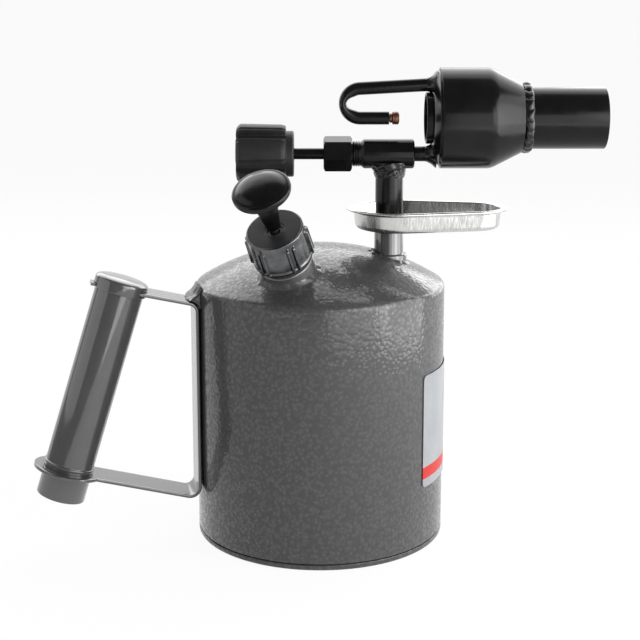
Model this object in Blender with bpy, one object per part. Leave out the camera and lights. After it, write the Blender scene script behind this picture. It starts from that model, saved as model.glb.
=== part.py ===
"""A petrol blowlamp: steel tank with strap handle and hand pump, needle valve, preheating tray and burner.

Metres, +Z up. The origin is on the tank's axis at its flat base. The burner fires along +X. The front is -Y.
"""

import math

import bmesh
import bpy
from mathutils import Matrix, Vector

MM = 0.001
DEG = math.pi / 180
TURN = 2 * math.pi

# Fits and cuts
FIT = 0.3 * MM
OVERRUN = 5.0 * MM
WELD_DISTANCE = 0.001 * MM

# Sides of the round pieces
TANK_SIDES = 48
LARGE_SIDES = 32
MEDIUM_SIDES = 24
PIPE_SIDES = 16
SMALL_SIDES = 14
NUT_SIDES = 6

# Tank: a drawn shell with a domed top, on a pressed base with a raised ring bead
TANK_RADIUS = 65.0 * MM
TANK_WALL = 1.0 * MM
SHOULDER_HEIGHT = 133.8 * MM
DOME_RISE = 19.0 * MM
SHOULDER_ROUND = 4.0 * MM
DOME_STEPS = 5
SHOULDER_STEPS = 3
BASE_RIM = 3.0 * MM
BASE_ROUND = 2.0 * MM
BASE_ROUND_STEPS = 2
BASE_PLATE = 1.2 * MM
BASE_SPIGOT = 5.0 * MM
BASE_FOOT_WIDTH = 3.0 * MM
BASE_PAD_RADIUS = 40.0 * MM
BASE_BEAD_RISE = 2.5 * MM
BASE_BEAD_SLOPE = 3.0 * MM

# Outlet: a bung in the dome with a stub tube under the tray
RISER_REACH = 35.8 * MM
BUNG_RADIUS = 9.4 * MM
BUNG_DEPTH = 7.0 * MM
BUNG_RISE = 1.4 * MM
STUB_RADIUS = 7.55 * MM
STUB_LENGTH = 11.6 * MM
TRAY_WASHER_RADIUS = 8.8 * MM
TRAY_WASHER_THICKNESS = 1.4 * MM

# Riser: a black tube whose spigot goes down through the tray into the stub
RISER_RADIUS = 7.2 * MM
RISER_BORE_RADIUS = 3.4 * MM
RISER_SPIGOT_RADIUS = 4.6 * MM
RISER_SPIGOT_LENGTH = 11.0 * MM
RISER_LENGTH = 37.3 * MM
RISER_WELD_DROP = 13.5 * MM
RISER_WELD_WALL = 0.6 * MM
RISER_WELD_FLARE = 3.6 * MM
RISER_WELD_CHEEK = 1.5 * MM
RISER_WELD_STEP = 2.4 * MM

# Pick-up tube and wick inside the tank
PICKUP_WALL = 0.7 * MM
PICKUP_INSERT = 12.0 * MM
PICKUP_FLOOR_GAP = 8.0 * MM
WICK_TAIL = 3.0 * MM
WICK_RISE = 30.0 * MM

# Preheating tray: an egg-shaped pan with a turned-out flange and a lip at each end
TRAY_LARGE_RADIUS = 23.2 * MM
TRAY_SMALL_RADIUS = 16.0 * MM
TRAY_LARGE_SHIFT = 4.8 * MM
TRAY_SMALL_SHIFT = 42.0 * MM
TRAY_DEPTH = 10.8 * MM
TRAY_SHEET = 0.7 * MM
TRAY_FLANGE = 1.7 * MM
TRAY_LIP = 1.6 * MM
TRAY_LIP_SHARPNESS = 10
TRAY_ROUND = 2.4 * MM
TRAY_DRAFT = 0.7 * MM
TRAY_ARC_STEPS = 10

# Needle valve: a turned body on top of the riser, its axis along X
BODY_RADIUS = 7.55 * MM
BODY_LENGTH_RIGHT = 12.6 * MM
BODY_LENGTH_LEFT = 14.0 * MM
BODY_CHAMFER = 0.7 * MM
BODY_NECKING = 1.8 * MM
BODY_THREAD_RADIUS = 6.45 * MM
BODY_THREAD_LENGTH = 14.8 * MM
CHAMBER_RADIUS = 3.2 * MM
SEAT_THROAT_RADIUS = 1.0 * MM
SEAT_SETBACK = 5.2 * MM
FEED_SOCKET = 3.0 * MM
STUFFING_RADIUS = 4.6 * MM
STUFFING_DEPTH = 8.0 * MM
FOLLOWER_LENGTH = 2.2 * MM
FOLLOWER_STANDOUT = 0.4 * MM
NUT_FLATS = 16.0 * MM
NUT_LENGTH = 14.7 * MM
NUT_TOP = 2.7 * MM
NUT_TOP_GAP = 0.7 * MM
NUT_CHAMFER = 1.3 * MM
NUT_TURN = -17 * DEG
SPINDLE_RADIUS = 2.9 * MM
SPINDLE_OPEN_LENGTH = 15.2 * MM
SPINDLE_SOCKET = 20.0 * MM

# Control knob: moulded, five lobes round a hub, held by a screw
KNOB_RADIUS = 15.5 * MM
KNOB_NOTCH_DEPTH = 3.7 * MM
KNOB_LOBE_LENGTH = 25.4 * MM
KNOB_HUB_LENGTH = 4.1 * MM
KNOB_HUB_CHAMFER = 0.6 * MM
KNOB_EDGE = 2.0 * MM
KNOB_DRAFT = 0.5 * MM
KNOB_LOBES = 5
KNOB_LOBE_SPAN = 52 * DEG
KNOB_NOTCH_SPAN = 13 * DEG
KNOB_TURN = -13 * DEG
KNOB_SCREW_HEAD_RADIUS = 3.5 * MM
KNOB_SCREW_HEAD_LENGTH = 2.2 * MM
KNOB_SCREW_RECESS = 0.5 * MM
KNOB_SCREW_RADIUS = 1.5 * MM
KNOB_SCREW_GRIP = 7.0 * MM

# Burner: jacket, vapour chamber, mixing tube and flame tube, all round an axis above the valve
SHELL_RADIUS = 25.75 * MM
SHELL_WALL = 1.2 * MM
SHELL_STANDOFF = 12.8 * MM
SHELL_LENGTH = 26.1 * MM
CONE_LENGTH = 16.0 * MM
CONE_LIP = 1.6 * MM
FEED_RADIUS = 3.9 * MM
FEED_WALL = 1.4 * MM
FEED_ENTRY = 3.0 * MM
CHAMBER_EDGE = 0.7 * MM
PLATE_THICKNESS = 1.4 * MM
PLATE_FLANGE = 1.0 * MM
PLATE_FLANGE_LENGTH = 4.3 * MM
PLATE_DISH = 4.5 * MM
MIXER_WALL = 1.2 * MM
MIXER_STANDOUT = 2.6 * MM
MIXER_BELL_LENGTH = 9.0 * MM
MIXER_BELL_TAPER = 5.0 * MM
FLAME_RADIUS = 15.75 * MM
FLAME_WALL = 1.5 * MM
FLAME_LENGTH = 42.3 * MM
FLAME_INSERT = 2.5 * MM
BEAD_WIDTH = 4.4 * MM
BEAD_HEIGHT = 2.4 * MM
BEAD_RIPPLE_SHARE = 0.16
BEAD_WAVES = ((5, 0, 1 / 2), (11, 1, 1 / 3), (17, 2, 1 / 4))
BEAD_STEPS = 36
BEAD_SECTION_STEPS = 6

# Vapour pipe: out of the chamber, round a pinched bend and back to the nozzle
PIPE_RADIUS = 3.35 * MM
PIPE_BORE_RADIUS = 1.9 * MM
PIPE_ENTRY = 6.0 * MM
PIPE_DROP = 2.6 * MM
PIPE_BEND_RADIUS = 7.55 * MM
PIPE_BEND_REACH = 40.7 * MM
PIPE_LOWER_LEG = 14.8 * MM
PIPE_BEND_STEPS = 12
PIPE_PINCH_SHARE = 0.42
PIPE_SPREAD_SHARE = 0.18
PIPE_BORE_PINCH_SHARE = 0.5
NOZZLE_NECK_RADIUS = 2.2 * MM
NOZZLE_NECK_LENGTH = 1.3 * MM
NOZZLE_HEAD_LENGTH = 3.6 * MM
NOZZLE_CHAMFER = 0.5 * MM
NOZZLE_SPIGOT_LENGTH = 5.0 * MM
JET_RADIUS = 0.5 * MM

# Hand pump: a filler neck leaning to the front, a ring nut, and a barrel that hangs in the tank
PUMP_EDGE_GAP = 25.2 * MM
PUMP_AZIMUTH = 247 * DEG
PUMP_TILT = 34.8 * DEG
NECK_RADIUS = 11.0 * MM
NECK_BORE_RADIUS = 8.0 * MM
NECK_LENGTH = 20.8 * MM
NECK_SPIGOT = 7.0 * MM
NECK_FLANGE_RADIUS = 15.0 * MM
NECK_FLANGE_RISE = 6.5 * MM
GASKET_THICKNESS = 1.5 * MM
GASKET_RADIUS = 10.6 * MM
BARREL_RADIUS = 7.0 * MM
BARREL_WALL = 0.8 * MM
BARREL_FLANGE = 1.5 * MM
PUMP_STROKE = 60.0 * MM
BARREL_SPARE = 41.0 * MM
CAP_RADIUS = 14.3 * MM
CAP_SKIRT_RADIUS = 15.0 * MM
CAP_SKIRT_REACH = 9.6 * MM
CAP_WEB = 3.2 * MM
CAP_TOP_ROUND = 1.2 * MM
CAP_RIM = 0.75 * MM
CAP_RIB_HEIGHT = 1.1 * MM
CAP_RIB_WIDTH = 1.7 * MM
CAP_RIB_PAIR_GAP = 1.5 * MM
CAP_RIB_DROP = 2.6 * MM
CAP_RIB_TAIL = 1.0 * MM
CAP_RIBS = 6
CAP_RIB_TURN = 49 * DEG
DISC_THICKNESS = 1.1 * MM
ROD_RADIUS = 2.5 * MM
ROD_HOLE_RADIUS = 3.75 * MM
PLUG_DEPTH = 6.0 * MM
PLUG_FLANGE = 2.0 * MM
NIPPLE_RADIUS = 2.5 * MM
NIPPLE_LENGTH = 10.0 * MM
NIPPLE_BORE_RADIUS = 0.9 * MM
NIPPLE_PORT_RADIUS = 0.7 * MM
SLEEVE_WALL = 1.0 * MM
SLEEVE_LENGTH = 8.0 * MM
CUP_HEIGHT = 6.0 * MM
CUP_WALL = 1.1 * MM
CUP_CLEARANCE = 0.3 * MM
CUP_FLOOR_GAP = 2.0 * MM
CUP_WASHER_THICKNESS = 1.2 * MM
CUP_WASHER_RADIUS = 4.6 * MM
CUP_NUT_RADIUS = 3.8 * MM
CUP_NUT_HEIGHT = 2.4 * MM
ROD_THREAD_RADIUS = 1.8 * MM
PUMP_KNOB_RADIUS = 14.4 * MM
PUMP_KNOB_RIM = 2.2 * MM
PUMP_KNOB_DOME = 3.6 * MM
PUMP_KNOB_STEM = 22.1 * MM
PUMP_KNOB_STEM_TOP_RADIUS = 6.0 * MM
PUMP_KNOB_STEM_LOW_RADIUS = 3.7 * MM
PUMP_KNOB_LIFT = 1.7 * MM
PUMP_KNOB_DOME_STEPS = 4
ROD_INSERT = 12.0 * MM

# Handle: a bent strap on the tank wall that carries a tube grip leaning towards the tank
HANDLE_AZIMUTH = 193 * DEG
GRIP_TOP_REACH = 37.2 * MM
GRIP_TOP_RISE = 7.1 * MM
GRIP_LEAN = 17.3 * DEG
GRIP_LENGTH = 119.0 * MM
GRIP_RADIUS = 12.5 * MM
GRIP_WALL = 1.5 * MM
GRIP_BEAD_RISE = 0.6 * MM
GRIP_BEAD_WIDTH = 1.6 * MM
GRIP_BEAD_LIFT = 1.5 * MM
GRIP_CAP_RADIUS = 13.75 * MM
GRIP_CAP_HEIGHT = 7.6 * MM
GRIP_CAP_TOP = 2.0 * MM
GRIP_CAP_DOME = 1.8 * MM
STRAP_WIDTH = 20.0 * MM
STRAP_THICKNESS = 1.8 * MM
STRAP_SLOT_DROP = 6.0 * MM
STRAP_ARM_RISE = 13.5 * DEG
STRAP_TAIL = 1.6 * MM
STRAP_TAIL_WIDTH = 8.0 * MM
STRAP_STEP_REACH = 3.0 * MM
STRAP_BEND = 5.0 * MM
STRAP_BEND_STEPS = 5
STRAP_LOW_CORNER = 22.8 * MM
STRAP_RING_RADIUS = 17.5 * MM
STRAP_RING_DROP = 104.6 * MM
STRAP_RING_STEPS = 12
STRAP_WELD_HEIGHT = 8.0 * MM
STRAP_WELD_WIDTH = 5.0 * MM

# Label: a plain sticker on the right of the tank
LABEL_LOW = 34.0 * MM
LABEL_HEIGHT = 59.0 * MM
LABEL_THICKNESS = 0.3 * MM
LABEL_HALF_SPAN = 37 * DEG
LABEL_STEPS = 12


def dome_sphere():
    """Radius and centre height of the sphere that the dome is cut from."""
    radius = (TANK_RADIUS ** 2 + DOME_RISE ** 2) / (2 * DOME_RISE)
    return radius, SHOULDER_HEIGHT + DOME_RISE - radius


def dome_height(reach):
    """Height of the dome's outer face at a distance from the tank's axis."""
    radius, centre = dome_sphere()
    return centre + math.sqrt(radius ** 2 - reach ** 2)


# Heights and stations that follow from the sizes above
PUMP_REACH = TANK_RADIUS - PUMP_EDGE_GAP
BUNG_TOP = dome_height(RISER_REACH) + BUNG_RISE
STUB_TOP = BUNG_TOP + STUB_LENGTH
WASHER_TOP = STUB_TOP + FIT + TRAY_WASHER_THICKNESS
TRAY_FLOOR = WASHER_TOP + FIT
RISER_FOOT = TRAY_FLOOR + TRAY_SHEET + FIT
VALVE_HEIGHT = RISER_FOOT + RISER_LENGTH
BODY_RIGHT = RISER_REACH + BODY_LENGTH_RIGHT
BODY_SHOULDER = RISER_REACH - BODY_LENGTH_LEFT
BODY_LEFT = BODY_SHOULDER - BODY_NECKING - BODY_THREAD_LENGTH
SEAT = BODY_RIGHT - SEAT_SETBACK
NUT_LEFT = BODY_LEFT - NUT_TOP_GAP - NUT_TOP
KNOB_RIGHT = NUT_LEFT - SPINDLE_OPEN_LENGTH
KNOB_LEFT = KNOB_RIGHT - KNOB_HUB_LENGTH - KNOB_LOBE_LENGTH
SPINDLE_LEFT = KNOB_RIGHT - SPINDLE_SOCKET

SHELL_INNER = SHELL_RADIUS - SHELL_WALL
PLATE_OUTER = SHELL_INNER - FIT
CHAMBER_OUTER = PLATE_OUTER - PLATE_FLANGE
CHAMBER_INNER = CHAMBER_OUTER - 2 * (FEED_RADIUS + FIT + CHAMBER_EDGE)
CHAMBER_MIDDLE = (CHAMBER_OUTER + CHAMBER_INNER) / 2
MIXER_RADIUS = CHAMBER_INNER - FIT
BURNER_HEIGHT = VALVE_HEIGHT + CHAMBER_MIDDLE
SHELL_LEFT = BODY_RIGHT + SHELL_STANDOFF
CONE_LEFT = SHELL_LEFT + SHELL_LENGTH
CONE_RIGHT = CONE_LEFT + CONE_LENGTH
PLATE_LEFT = SHELL_LEFT - PLATE_DISH
PIPE_BEND_STATION = SHELL_LEFT - PIPE_BEND_REACH
MIXER_LEFT = PLATE_LEFT - MIXER_STANDOUT
FLAME_LEFT = CONE_RIGHT - FLAME_INSERT
FLAME_RIGHT = FLAME_LEFT + FLAME_INSERT + FLAME_LENGTH

GASKET_BASE = NECK_LENGTH + FIT
FLANGE_BASE = GASKET_BASE + GASKET_THICKNESS + FIT
FLANGE_TOP = FLANGE_BASE + BARREL_FLANGE
WEB_BASE = FLANGE_TOP + FIT
WEB_TOP = WEB_BASE + CAP_WEB
DISC_BASE = WEB_TOP + FIT
CAP_TOP = DISC_BASE + DISC_THICKNESS
CAP_BASE = NECK_LENGTH - CAP_SKIRT_REACH
BARREL_BASE = FLANGE_BASE - PUMP_STROKE - BARREL_SPARE
BARREL_BORE_RADIUS = BARREL_RADIUS - BARREL_WALL
PLUG_TOP = BARREL_BASE + PLUG_DEPTH
CUP_BASE = PLUG_TOP + CUP_FLOOR_GAP + CUP_NUT_HEIGHT / 2
CUP_RADIUS = BARREL_BORE_RADIUS - CUP_CLEARANCE
CUP_TOP = CUP_BASE + CUP_HEIGHT
ROD_SHOULDER = CUP_TOP + FIT + CUP_WASHER_THICKNESS + FIT
PUMP_KNOB_BASE = CAP_TOP + PUMP_KNOB_LIFT
PUMP_KNOB_PLATE = PUMP_KNOB_BASE + PUMP_KNOB_STEM

STRAP_LINE = TANK_RADIUS + FIT + STRAP_THICKNESS / 2
GRIP_TOP = Vector((TANK_RADIUS + GRIP_TOP_REACH, 0, SHOULDER_HEIGHT + GRIP_TOP_RISE))
GRIP_DOWN = Vector((math.sin(GRIP_LEAN), 0, -math.cos(GRIP_LEAN)))
GRIP_OUT = Vector((math.cos(GRIP_LEAN), 0, math.sin(GRIP_LEAN)))
ARM_OUT = Vector((math.cos(STRAP_ARM_RISE), 0, math.sin(STRAP_ARM_RISE)))
ARM_UP = Vector((-math.sin(STRAP_ARM_RISE), 0, math.cos(STRAP_ARM_RISE)))
STRAP_SLOT = GRIP_TOP + GRIP_DOWN * STRAP_SLOT_DROP


def clear_scene():
    """Remove whatever the file holds."""
    for item in list(bpy.data.objects):
        bpy.data.objects.remove(item, do_unlink=True)


def paint(name, colour, roughness, metallic=0.0):
    """A plain Principled material with a linear colour."""
    finish = bpy.data.materials.get(name)
    if finish:
        return finish
    finish = bpy.data.materials.new(name)
    finish.use_nodes = True
    shader = finish.node_tree.nodes["Principled BSDF"]
    shader.inputs["Base Color"].default_value = (*colour, 1.0)
    shader.inputs["Roughness"].default_value = roughness
    shader.inputs["Metallic"].default_value = metallic
    finish.diffuse_color = (*colour, 1.0)
    return finish


def hammer_grey():
    return paint("hammer_paint", (0.09, 0.09, 0.092), 0.35)


def smooth_grey():
    return paint("smooth_grey_paint", (0.095, 0.095, 0.095), 0.4)


def heat_black():
    return paint("heat_black_paint", (0.012, 0.012, 0.012), 0.4)


def black_plastic():
    return paint("black_plastic", (0.02, 0.02, 0.02), 0.35)


def bright_plate():
    return paint("bright_plate", (0.75, 0.75, 0.74), 0.25, 1.0)


def zinc_casting():
    return paint("zinc_casting", (0.5, 0.5, 0.49), 0.3, 1.0)


def brass():
    return paint("brass", (0.5, 0.33, 0.16), 0.35, 1.0)


def plain_steel():
    return paint("plain_steel", (0.42, 0.42, 0.43), 0.3, 1.0)


def black_rubber():
    return paint("black_rubber", (0.02, 0.02, 0.02), 0.7)


def graphite():
    return paint("graphite_packing", (0.05, 0.05, 0.05), 0.8)


def cotton():
    return paint("cotton_wick", (0.6, 0.56, 0.48), 0.95)


def leather():
    return paint("cup_leather", (0.22, 0.12, 0.06), 0.7)


def sticker():
    return paint("sticker", (0.75, 0.75, 0.75), 0.4)


def frame(name, place, z_axis, x_axis, parent=None):
    """An empty whose local Z and X lie along the two given directions, to build a group of pieces in."""
    height = Vector(z_axis).normalized()
    side = height.cross(Vector(x_axis)).normalized()
    front = side.cross(height)
    turn = Matrix((front, side, height)).transposed()
    empty = bpy.data.objects.new(name, None)
    empty.location = place
    empty.rotation_euler = turn.to_euler()
    empty.parent = parent
    bpy.context.collection.objects.link(empty)
    return empty


def finish_piece(name, shape, finish, parent):
    """Turn a bmesh into a smooth-shaded object in its frame."""
    bmesh.ops.remove_doubles(shape, verts=shape.verts[:], dist=WELD_DISTANCE)
    bmesh.ops.recalc_face_normals(shape, faces=shape.faces[:])
    mesh = bpy.data.meshes.new(name)
    shape.to_mesh(mesh)
    shape.free()
    mesh.materials.append(finish)
    mesh.shade_smooth()
    mesh.set_sharp_from_angle(angle=30 * DEG)
    piece = bpy.data.objects.new(name, mesh)
    piece.parent = parent
    bpy.context.collection.objects.link(piece)
    return piece


def turned(name, profile, sides, finish, parent):
    """Spin (radius, height) points about local Z. A profile that starts off the axis closes into a ring."""
    shape = bmesh.new()
    points = [shape.verts.new((radius, 0, height)) for radius, height in profile]
    pairs = list(zip(points, points[1:]))
    if profile[0][0] > 0:
        pairs.append((points[-1], points[0]))
    edges = [shape.edges.new(pair) for pair in pairs]
    bmesh.ops.spin(shape, geom=points + edges, cent=(0, 0, 0), axis=(0, 0, 1), angle=TURN, steps=sides,
                   use_merge=True)
    return finish_piece(name, shape, finish, parent)


def lofted(name, rings, finish, parent, joined=False):
    """Bridge rings of points one after another. The end rings are capped, or joined to each other."""
    shape = bmesh.new()
    rows = [[shape.verts.new(point) for point in ring] for ring in rings]
    follow = list(zip(rows, rows[1:]))
    if joined:
        follow.append((rows[-1], rows[0]))
    for near, far in follow:
        for index in range(len(near)):
            step = (index + 1) % len(near)
            shape.faces.new((near[index], near[step], far[step], far[index]))
    if not joined:
        shape.faces.new(rows[0])
        shape.faces.new(rows[-1])
    return finish_piece(name, shape, finish, parent)


def prism(name, outline, low, high, finish, parent):
    """Extrude a closed outline of (x, y) points along local Z."""
    rings = [[(x, y, height) for x, y in outline] for height in (low, high)]
    return lofted(name, rings, finish, parent)


def combine(target, tool, operation):
    """Cut, join or intersect the target with a tool that stays out of the render."""
    change = target.modifiers.new(tool.name, "BOOLEAN")
    change.operation = operation
    change.object = tool
    change.solver = "EXACT"
    tool.hide_render = True
    tool.display_type = "WIRE"


def rod_profile(radius, low, high):
    """A plain round bar from one height to another."""
    return [(0, low), (radius, low), (radius, high), (0, high)]


def tube_profile(outer, inner, low, high):
    """A plain tube from one height to another."""
    return [(inner, low), (outer, low), (outer, high), (inner, high)]


def arc(centre, radius, start, end, steps):
    """Points along an arc in a plane, both ends included."""
    angles = [start + (end - start) * index / steps for index in range(steps + 1)]
    return [(centre[0] + radius * math.cos(angle), centre[1] + radius * math.sin(angle)) for angle in angles]


def dome_profile(inset):
    """The dome and its rounded shoulder, from the axis outwards, set in by a wall thickness."""
    radius, centre = dome_sphere()
    round_reach = TANK_RADIUS - SHOULDER_ROUND
    round_height = centre + math.sqrt((radius - SHOULDER_ROUND) ** 2 - round_reach ** 2)
    tangent = math.atan2(round_height - centre, round_reach)
    cap = arc((0, centre), radius - inset, math.pi / 2, tangent, DOME_STEPS)
    shoulder = arc((round_reach, round_height), SHOULDER_ROUND - inset, tangent, 0, SHOULDER_STEPS)
    return [(0, cap[0][1])] + cap[1:] + shoulder[1:]


def make_tank(parent):
    """The drawn tank shell, open at the bottom, with holes for the outlet bung and the filler neck."""
    wall_base = BASE_RIM + FIT
    outer = dome_profile(0) + [(TANK_RADIUS, wall_base)]
    inner = dome_profile(TANK_WALL) + [(TANK_RADIUS - TANK_WALL, wall_base)]
    return turned("tank_body", outer + inner[::-1], TANK_SIDES, hammer_grey(), parent)


def make_base(parent):
    """The pressed base: flat pad and foot ring, raised bead between them, rim, and spigot inside the wall."""
    spigot = TANK_RADIUS - TANK_WALL - FIT
    inside = spigot - BASE_PLATE
    foot_outer = TANK_RADIUS - BASE_ROUND
    foot_inner = foot_outer - BASE_FOOT_WIDTH
    pad = BASE_PAD_RADIUS
    slope = BASE_BEAD_SLOPE
    under = [(0, 0), (pad, 0), (pad + slope, BASE_BEAD_RISE)]
    under += [(foot_inner - slope, BASE_BEAD_RISE), (foot_inner, 0)]
    rim = arc((foot_outer, BASE_ROUND), BASE_ROUND, -math.pi / 2, 0, BASE_ROUND_STEPS)
    wall = [(TANK_RADIUS, BASE_RIM), (spigot, BASE_RIM), (spigot, BASE_RIM + BASE_SPIGOT)]
    wall += [(inside, BASE_RIM + BASE_SPIGOT), (inside, BASE_PLATE)]
    over = [(radius, height + BASE_PLATE) for radius, height in under[::-1]]
    return turned("tank_base", under + rim + wall + over, TANK_SIDES, hammer_grey(), parent)


def make_outlet(parent):
    """The outlet bung and its stub tube, one turned piece welded into the dome."""
    bore = RISER_SPIGOT_RADIUS + FIT
    low = BUNG_TOP - BUNG_DEPTH
    profile = [(bore, low), (BUNG_RADIUS, low), (BUNG_RADIUS, BUNG_TOP), (STUB_RADIUS, BUNG_TOP)]
    profile += [(STUB_RADIUS, STUB_TOP), (bore, STUB_TOP)]
    return turned("tank_outlet", profile, MEDIUM_SIDES, smooth_grey(), parent)


def make_tray_washer(parent):
    """The dark washer that the tray is clamped down on."""
    profile = tube_profile(TRAY_WASHER_RADIUS, RISER_SPIGOT_RADIUS + FIT, STUB_TOP + FIT, WASHER_TOP)
    return turned("tray_washer", profile, MEDIUM_SIDES, heat_black(), parent)


def make_riser(parent):
    """The riser tube. Its top end is cut to the valve body's curve later."""
    bore = RISER_BORE_RADIUS
    spigot_end = RISER_FOOT - RISER_SPIGOT_LENGTH
    profile = [(bore, spigot_end), (RISER_SPIGOT_RADIUS, spigot_end), (RISER_SPIGOT_RADIUS, RISER_FOOT)]
    profile += [(RISER_RADIUS, RISER_FOOT), (RISER_RADIUS, VALVE_HEIGHT), (bore, VALVE_HEIGHT)]
    return turned("riser_tube", profile, MEDIUM_SIDES, heat_black(), parent)


def make_riser_weld(parent):
    """The coarse fillet round the riser's top, wide along the valve body and narrow across it."""
    low = VALVE_HEIGHT - RISER_WELD_DROP
    inner = RISER_RADIUS + FIT
    thin = inner + RISER_WELD_WALL
    wide = inner + RISER_WELD_FLARE
    cheek = inner + RISER_WELD_CHEEK
    levels = [(low, thin, thin), (low + RISER_WELD_STEP, (thin + wide) / 2, (thin + cheek) / 2)]
    levels += [(low + 2 * RISER_WELD_STEP, wide, cheek), (low + 4 * RISER_WELD_STEP, wide, cheek)]
    rings = [oval(along, across, height) for height, along, across in levels]
    rings += [oval(inner, inner, height) for height, along, across in levels[::-1]]
    return lofted("riser_weld", rings, heat_black(), parent, joined=True)


def oval(along, across, height):
    """A level ring of points with one radius along X and another across it."""
    angles = [TURN * index / MEDIUM_SIDES for index in range(MEDIUM_SIDES)]
    return [(along * math.cos(angle), across * math.sin(angle), height) for angle in angles]


def make_pickup_tube(parent):
    """The tube that carries the wick down to the bottom of the tank."""
    outer = RISER_BORE_RADIUS - FIT
    top = RISER_FOOT - RISER_SPIGOT_LENGTH + PICKUP_INSERT
    profile = tube_profile(outer, outer - PICKUP_WALL, PICKUP_FLOOR_GAP, top)
    return turned("pickup_tube", profile, SMALL_SIDES, brass(), parent)


def make_wick(parent):
    """The cotton wick inside the pick-up tube, its tail just above the tank's base."""
    radius = RISER_BORE_RADIUS - FIT - PICKUP_WALL - FIT
    profile = rod_profile(radius, PICKUP_FLOOR_GAP - WICK_TAIL, BUNG_TOP - WICK_RISE)
    return turned("wick", profile, SMALL_SIDES, cotton(), parent)


def egg_ring(inset, height, lip=0.0):
    """The tray's egg outline at one height, set in by a distance, pushed out at both ends by the lip."""
    large = TRAY_LARGE_RADIUS - inset
    small = TRAY_SMALL_RADIUS - inset
    span = TRAY_SMALL_SHIFT - TRAY_LARGE_SHIFT
    meet = math.acos((TRAY_LARGE_RADIUS - TRAY_SMALL_RADIUS) / span)
    big = [meet + (TURN - 2 * meet) * index / TRAY_ARC_STEPS for index in range(TRAY_ARC_STEPS + 1)]
    little = [-meet + 2 * meet * index / TRAY_ARC_STEPS for index in range(TRAY_ARC_STEPS + 1)]
    ring = []
    for angles, radius, shift in ((big, large, TRAY_LARGE_SHIFT), (little, small, TRAY_SMALL_SHIFT)):
        for angle in angles:
            reach = radius + lip * abs(math.cos(angle)) ** TRAY_LIP_SHARPNESS
            ring.append((shift + reach * math.cos(angle), reach * math.sin(angle), height))
    return ring


def make_tray(parent):
    """The preheating pan: rounded floor, slightly drafted wall and a flat flange with a lip at each end."""
    floor = TRAY_FLOOR
    rim = TRAY_FLOOR + TRAY_DEPTH
    sheet = TRAY_SHEET
    half_round = TRAY_ROUND / 2
    rings = [egg_ring(TRAY_ROUND + TRAY_DRAFT, floor)]
    rings += [egg_ring(half_round / 2 + TRAY_DRAFT, floor + half_round / 2)]
    rings += [egg_ring(TRAY_DRAFT, floor + TRAY_ROUND), egg_ring(0, rim - sheet)]
    rings += [egg_ring(-TRAY_FLANGE, rim - sheet, TRAY_LIP), egg_ring(-TRAY_FLANGE, rim, TRAY_LIP)]
    rings += [egg_ring(sheet, rim), egg_ring(sheet + TRAY_DRAFT, floor + TRAY_ROUND)]
    rings += [egg_ring(sheet + half_round / 2 + TRAY_DRAFT, floor + half_round / 2 + sheet / 2)]
    rings += [egg_ring(TRAY_ROUND + TRAY_DRAFT, floor + sheet)]
    return lofted("preheat_tray", rings, bright_plate(), parent)


def make_valve_body(parent):
    """The turned valve body: stuffing box and thread on the left, needle chamber, seat and feed socket."""
    socket = FEED_RADIUS + FIT
    stuffing_end = BODY_LEFT + STUFFING_DEPTH
    seat_rise = CHAMBER_RADIUS - SEAT_THROAT_RADIUS
    profile = [(STUFFING_RADIUS, BODY_LEFT), (BODY_THREAD_RADIUS, BODY_LEFT)]
    profile += [(BODY_THREAD_RADIUS, BODY_SHOULDER - BODY_NECKING), (BODY_RADIUS, BODY_SHOULDER)]
    profile += [(BODY_RADIUS, BODY_RIGHT - BODY_CHAMFER), (BODY_RADIUS - BODY_CHAMFER, BODY_RIGHT)]
    profile += [(socket, BODY_RIGHT), (socket, BODY_RIGHT - FEED_SOCKET)]
    profile += [(SEAT_THROAT_RADIUS, BODY_RIGHT - FEED_SOCKET), (SEAT_THROAT_RADIUS, SEAT)]
    profile += [(CHAMBER_RADIUS, SEAT - seat_rise), (CHAMBER_RADIUS, stuffing_end)]
    profile += [(STUFFING_RADIUS, stuffing_end)]
    return turned("valve_body", profile, MEDIUM_SIDES, heat_black(), parent)


def make_spindle(parent):
    """The needle spindle: cone tip at the seat, plain stem, and a tapped hole for the knob screw."""
    seat_rise = CHAMBER_RADIUS - SEAT_THROAT_RADIUS
    cone_base = SEAT - seat_rise - FIT / 2
    tapped = KNOB_SCREW_RADIUS + FIT
    hole_end = SPINDLE_LEFT + KNOB_SCREW_GRIP + FIT
    profile = [(0, hole_end), (tapped, hole_end), (tapped, SPINDLE_LEFT), (SPINDLE_RADIUS, SPINDLE_LEFT)]
    profile += [(SPINDLE_RADIUS, cone_base), (0, cone_base + SPINDLE_RADIUS)]
    return turned("valve_spindle", profile, SMALL_SIDES, heat_black(), parent)


def make_packing(parent):
    """The graphite ring round the spindle, at the bottom of the stuffing box."""
    high = BODY_LEFT + STUFFING_DEPTH - FIT
    low = BODY_LEFT + FOLLOWER_LENGTH - FOLLOWER_STANDOUT + FIT
    profile = tube_profile(STUFFING_RADIUS - FIT, SPINDLE_RADIUS + FIT, low, high)
    return turned("packing_ring", profile, PIPE_SIDES, graphite(), parent)


def make_follower(parent):
    """The brass follower that the packing nut presses on the packing ring."""
    low = BODY_LEFT - FOLLOWER_STANDOUT
    profile = tube_profile(STUFFING_RADIUS - FIT, SPINDLE_RADIUS + FIT, low, low + FOLLOWER_LENGTH)
    return turned("gland_follower", profile, PIPE_SIDES, brass(), parent)


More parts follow.
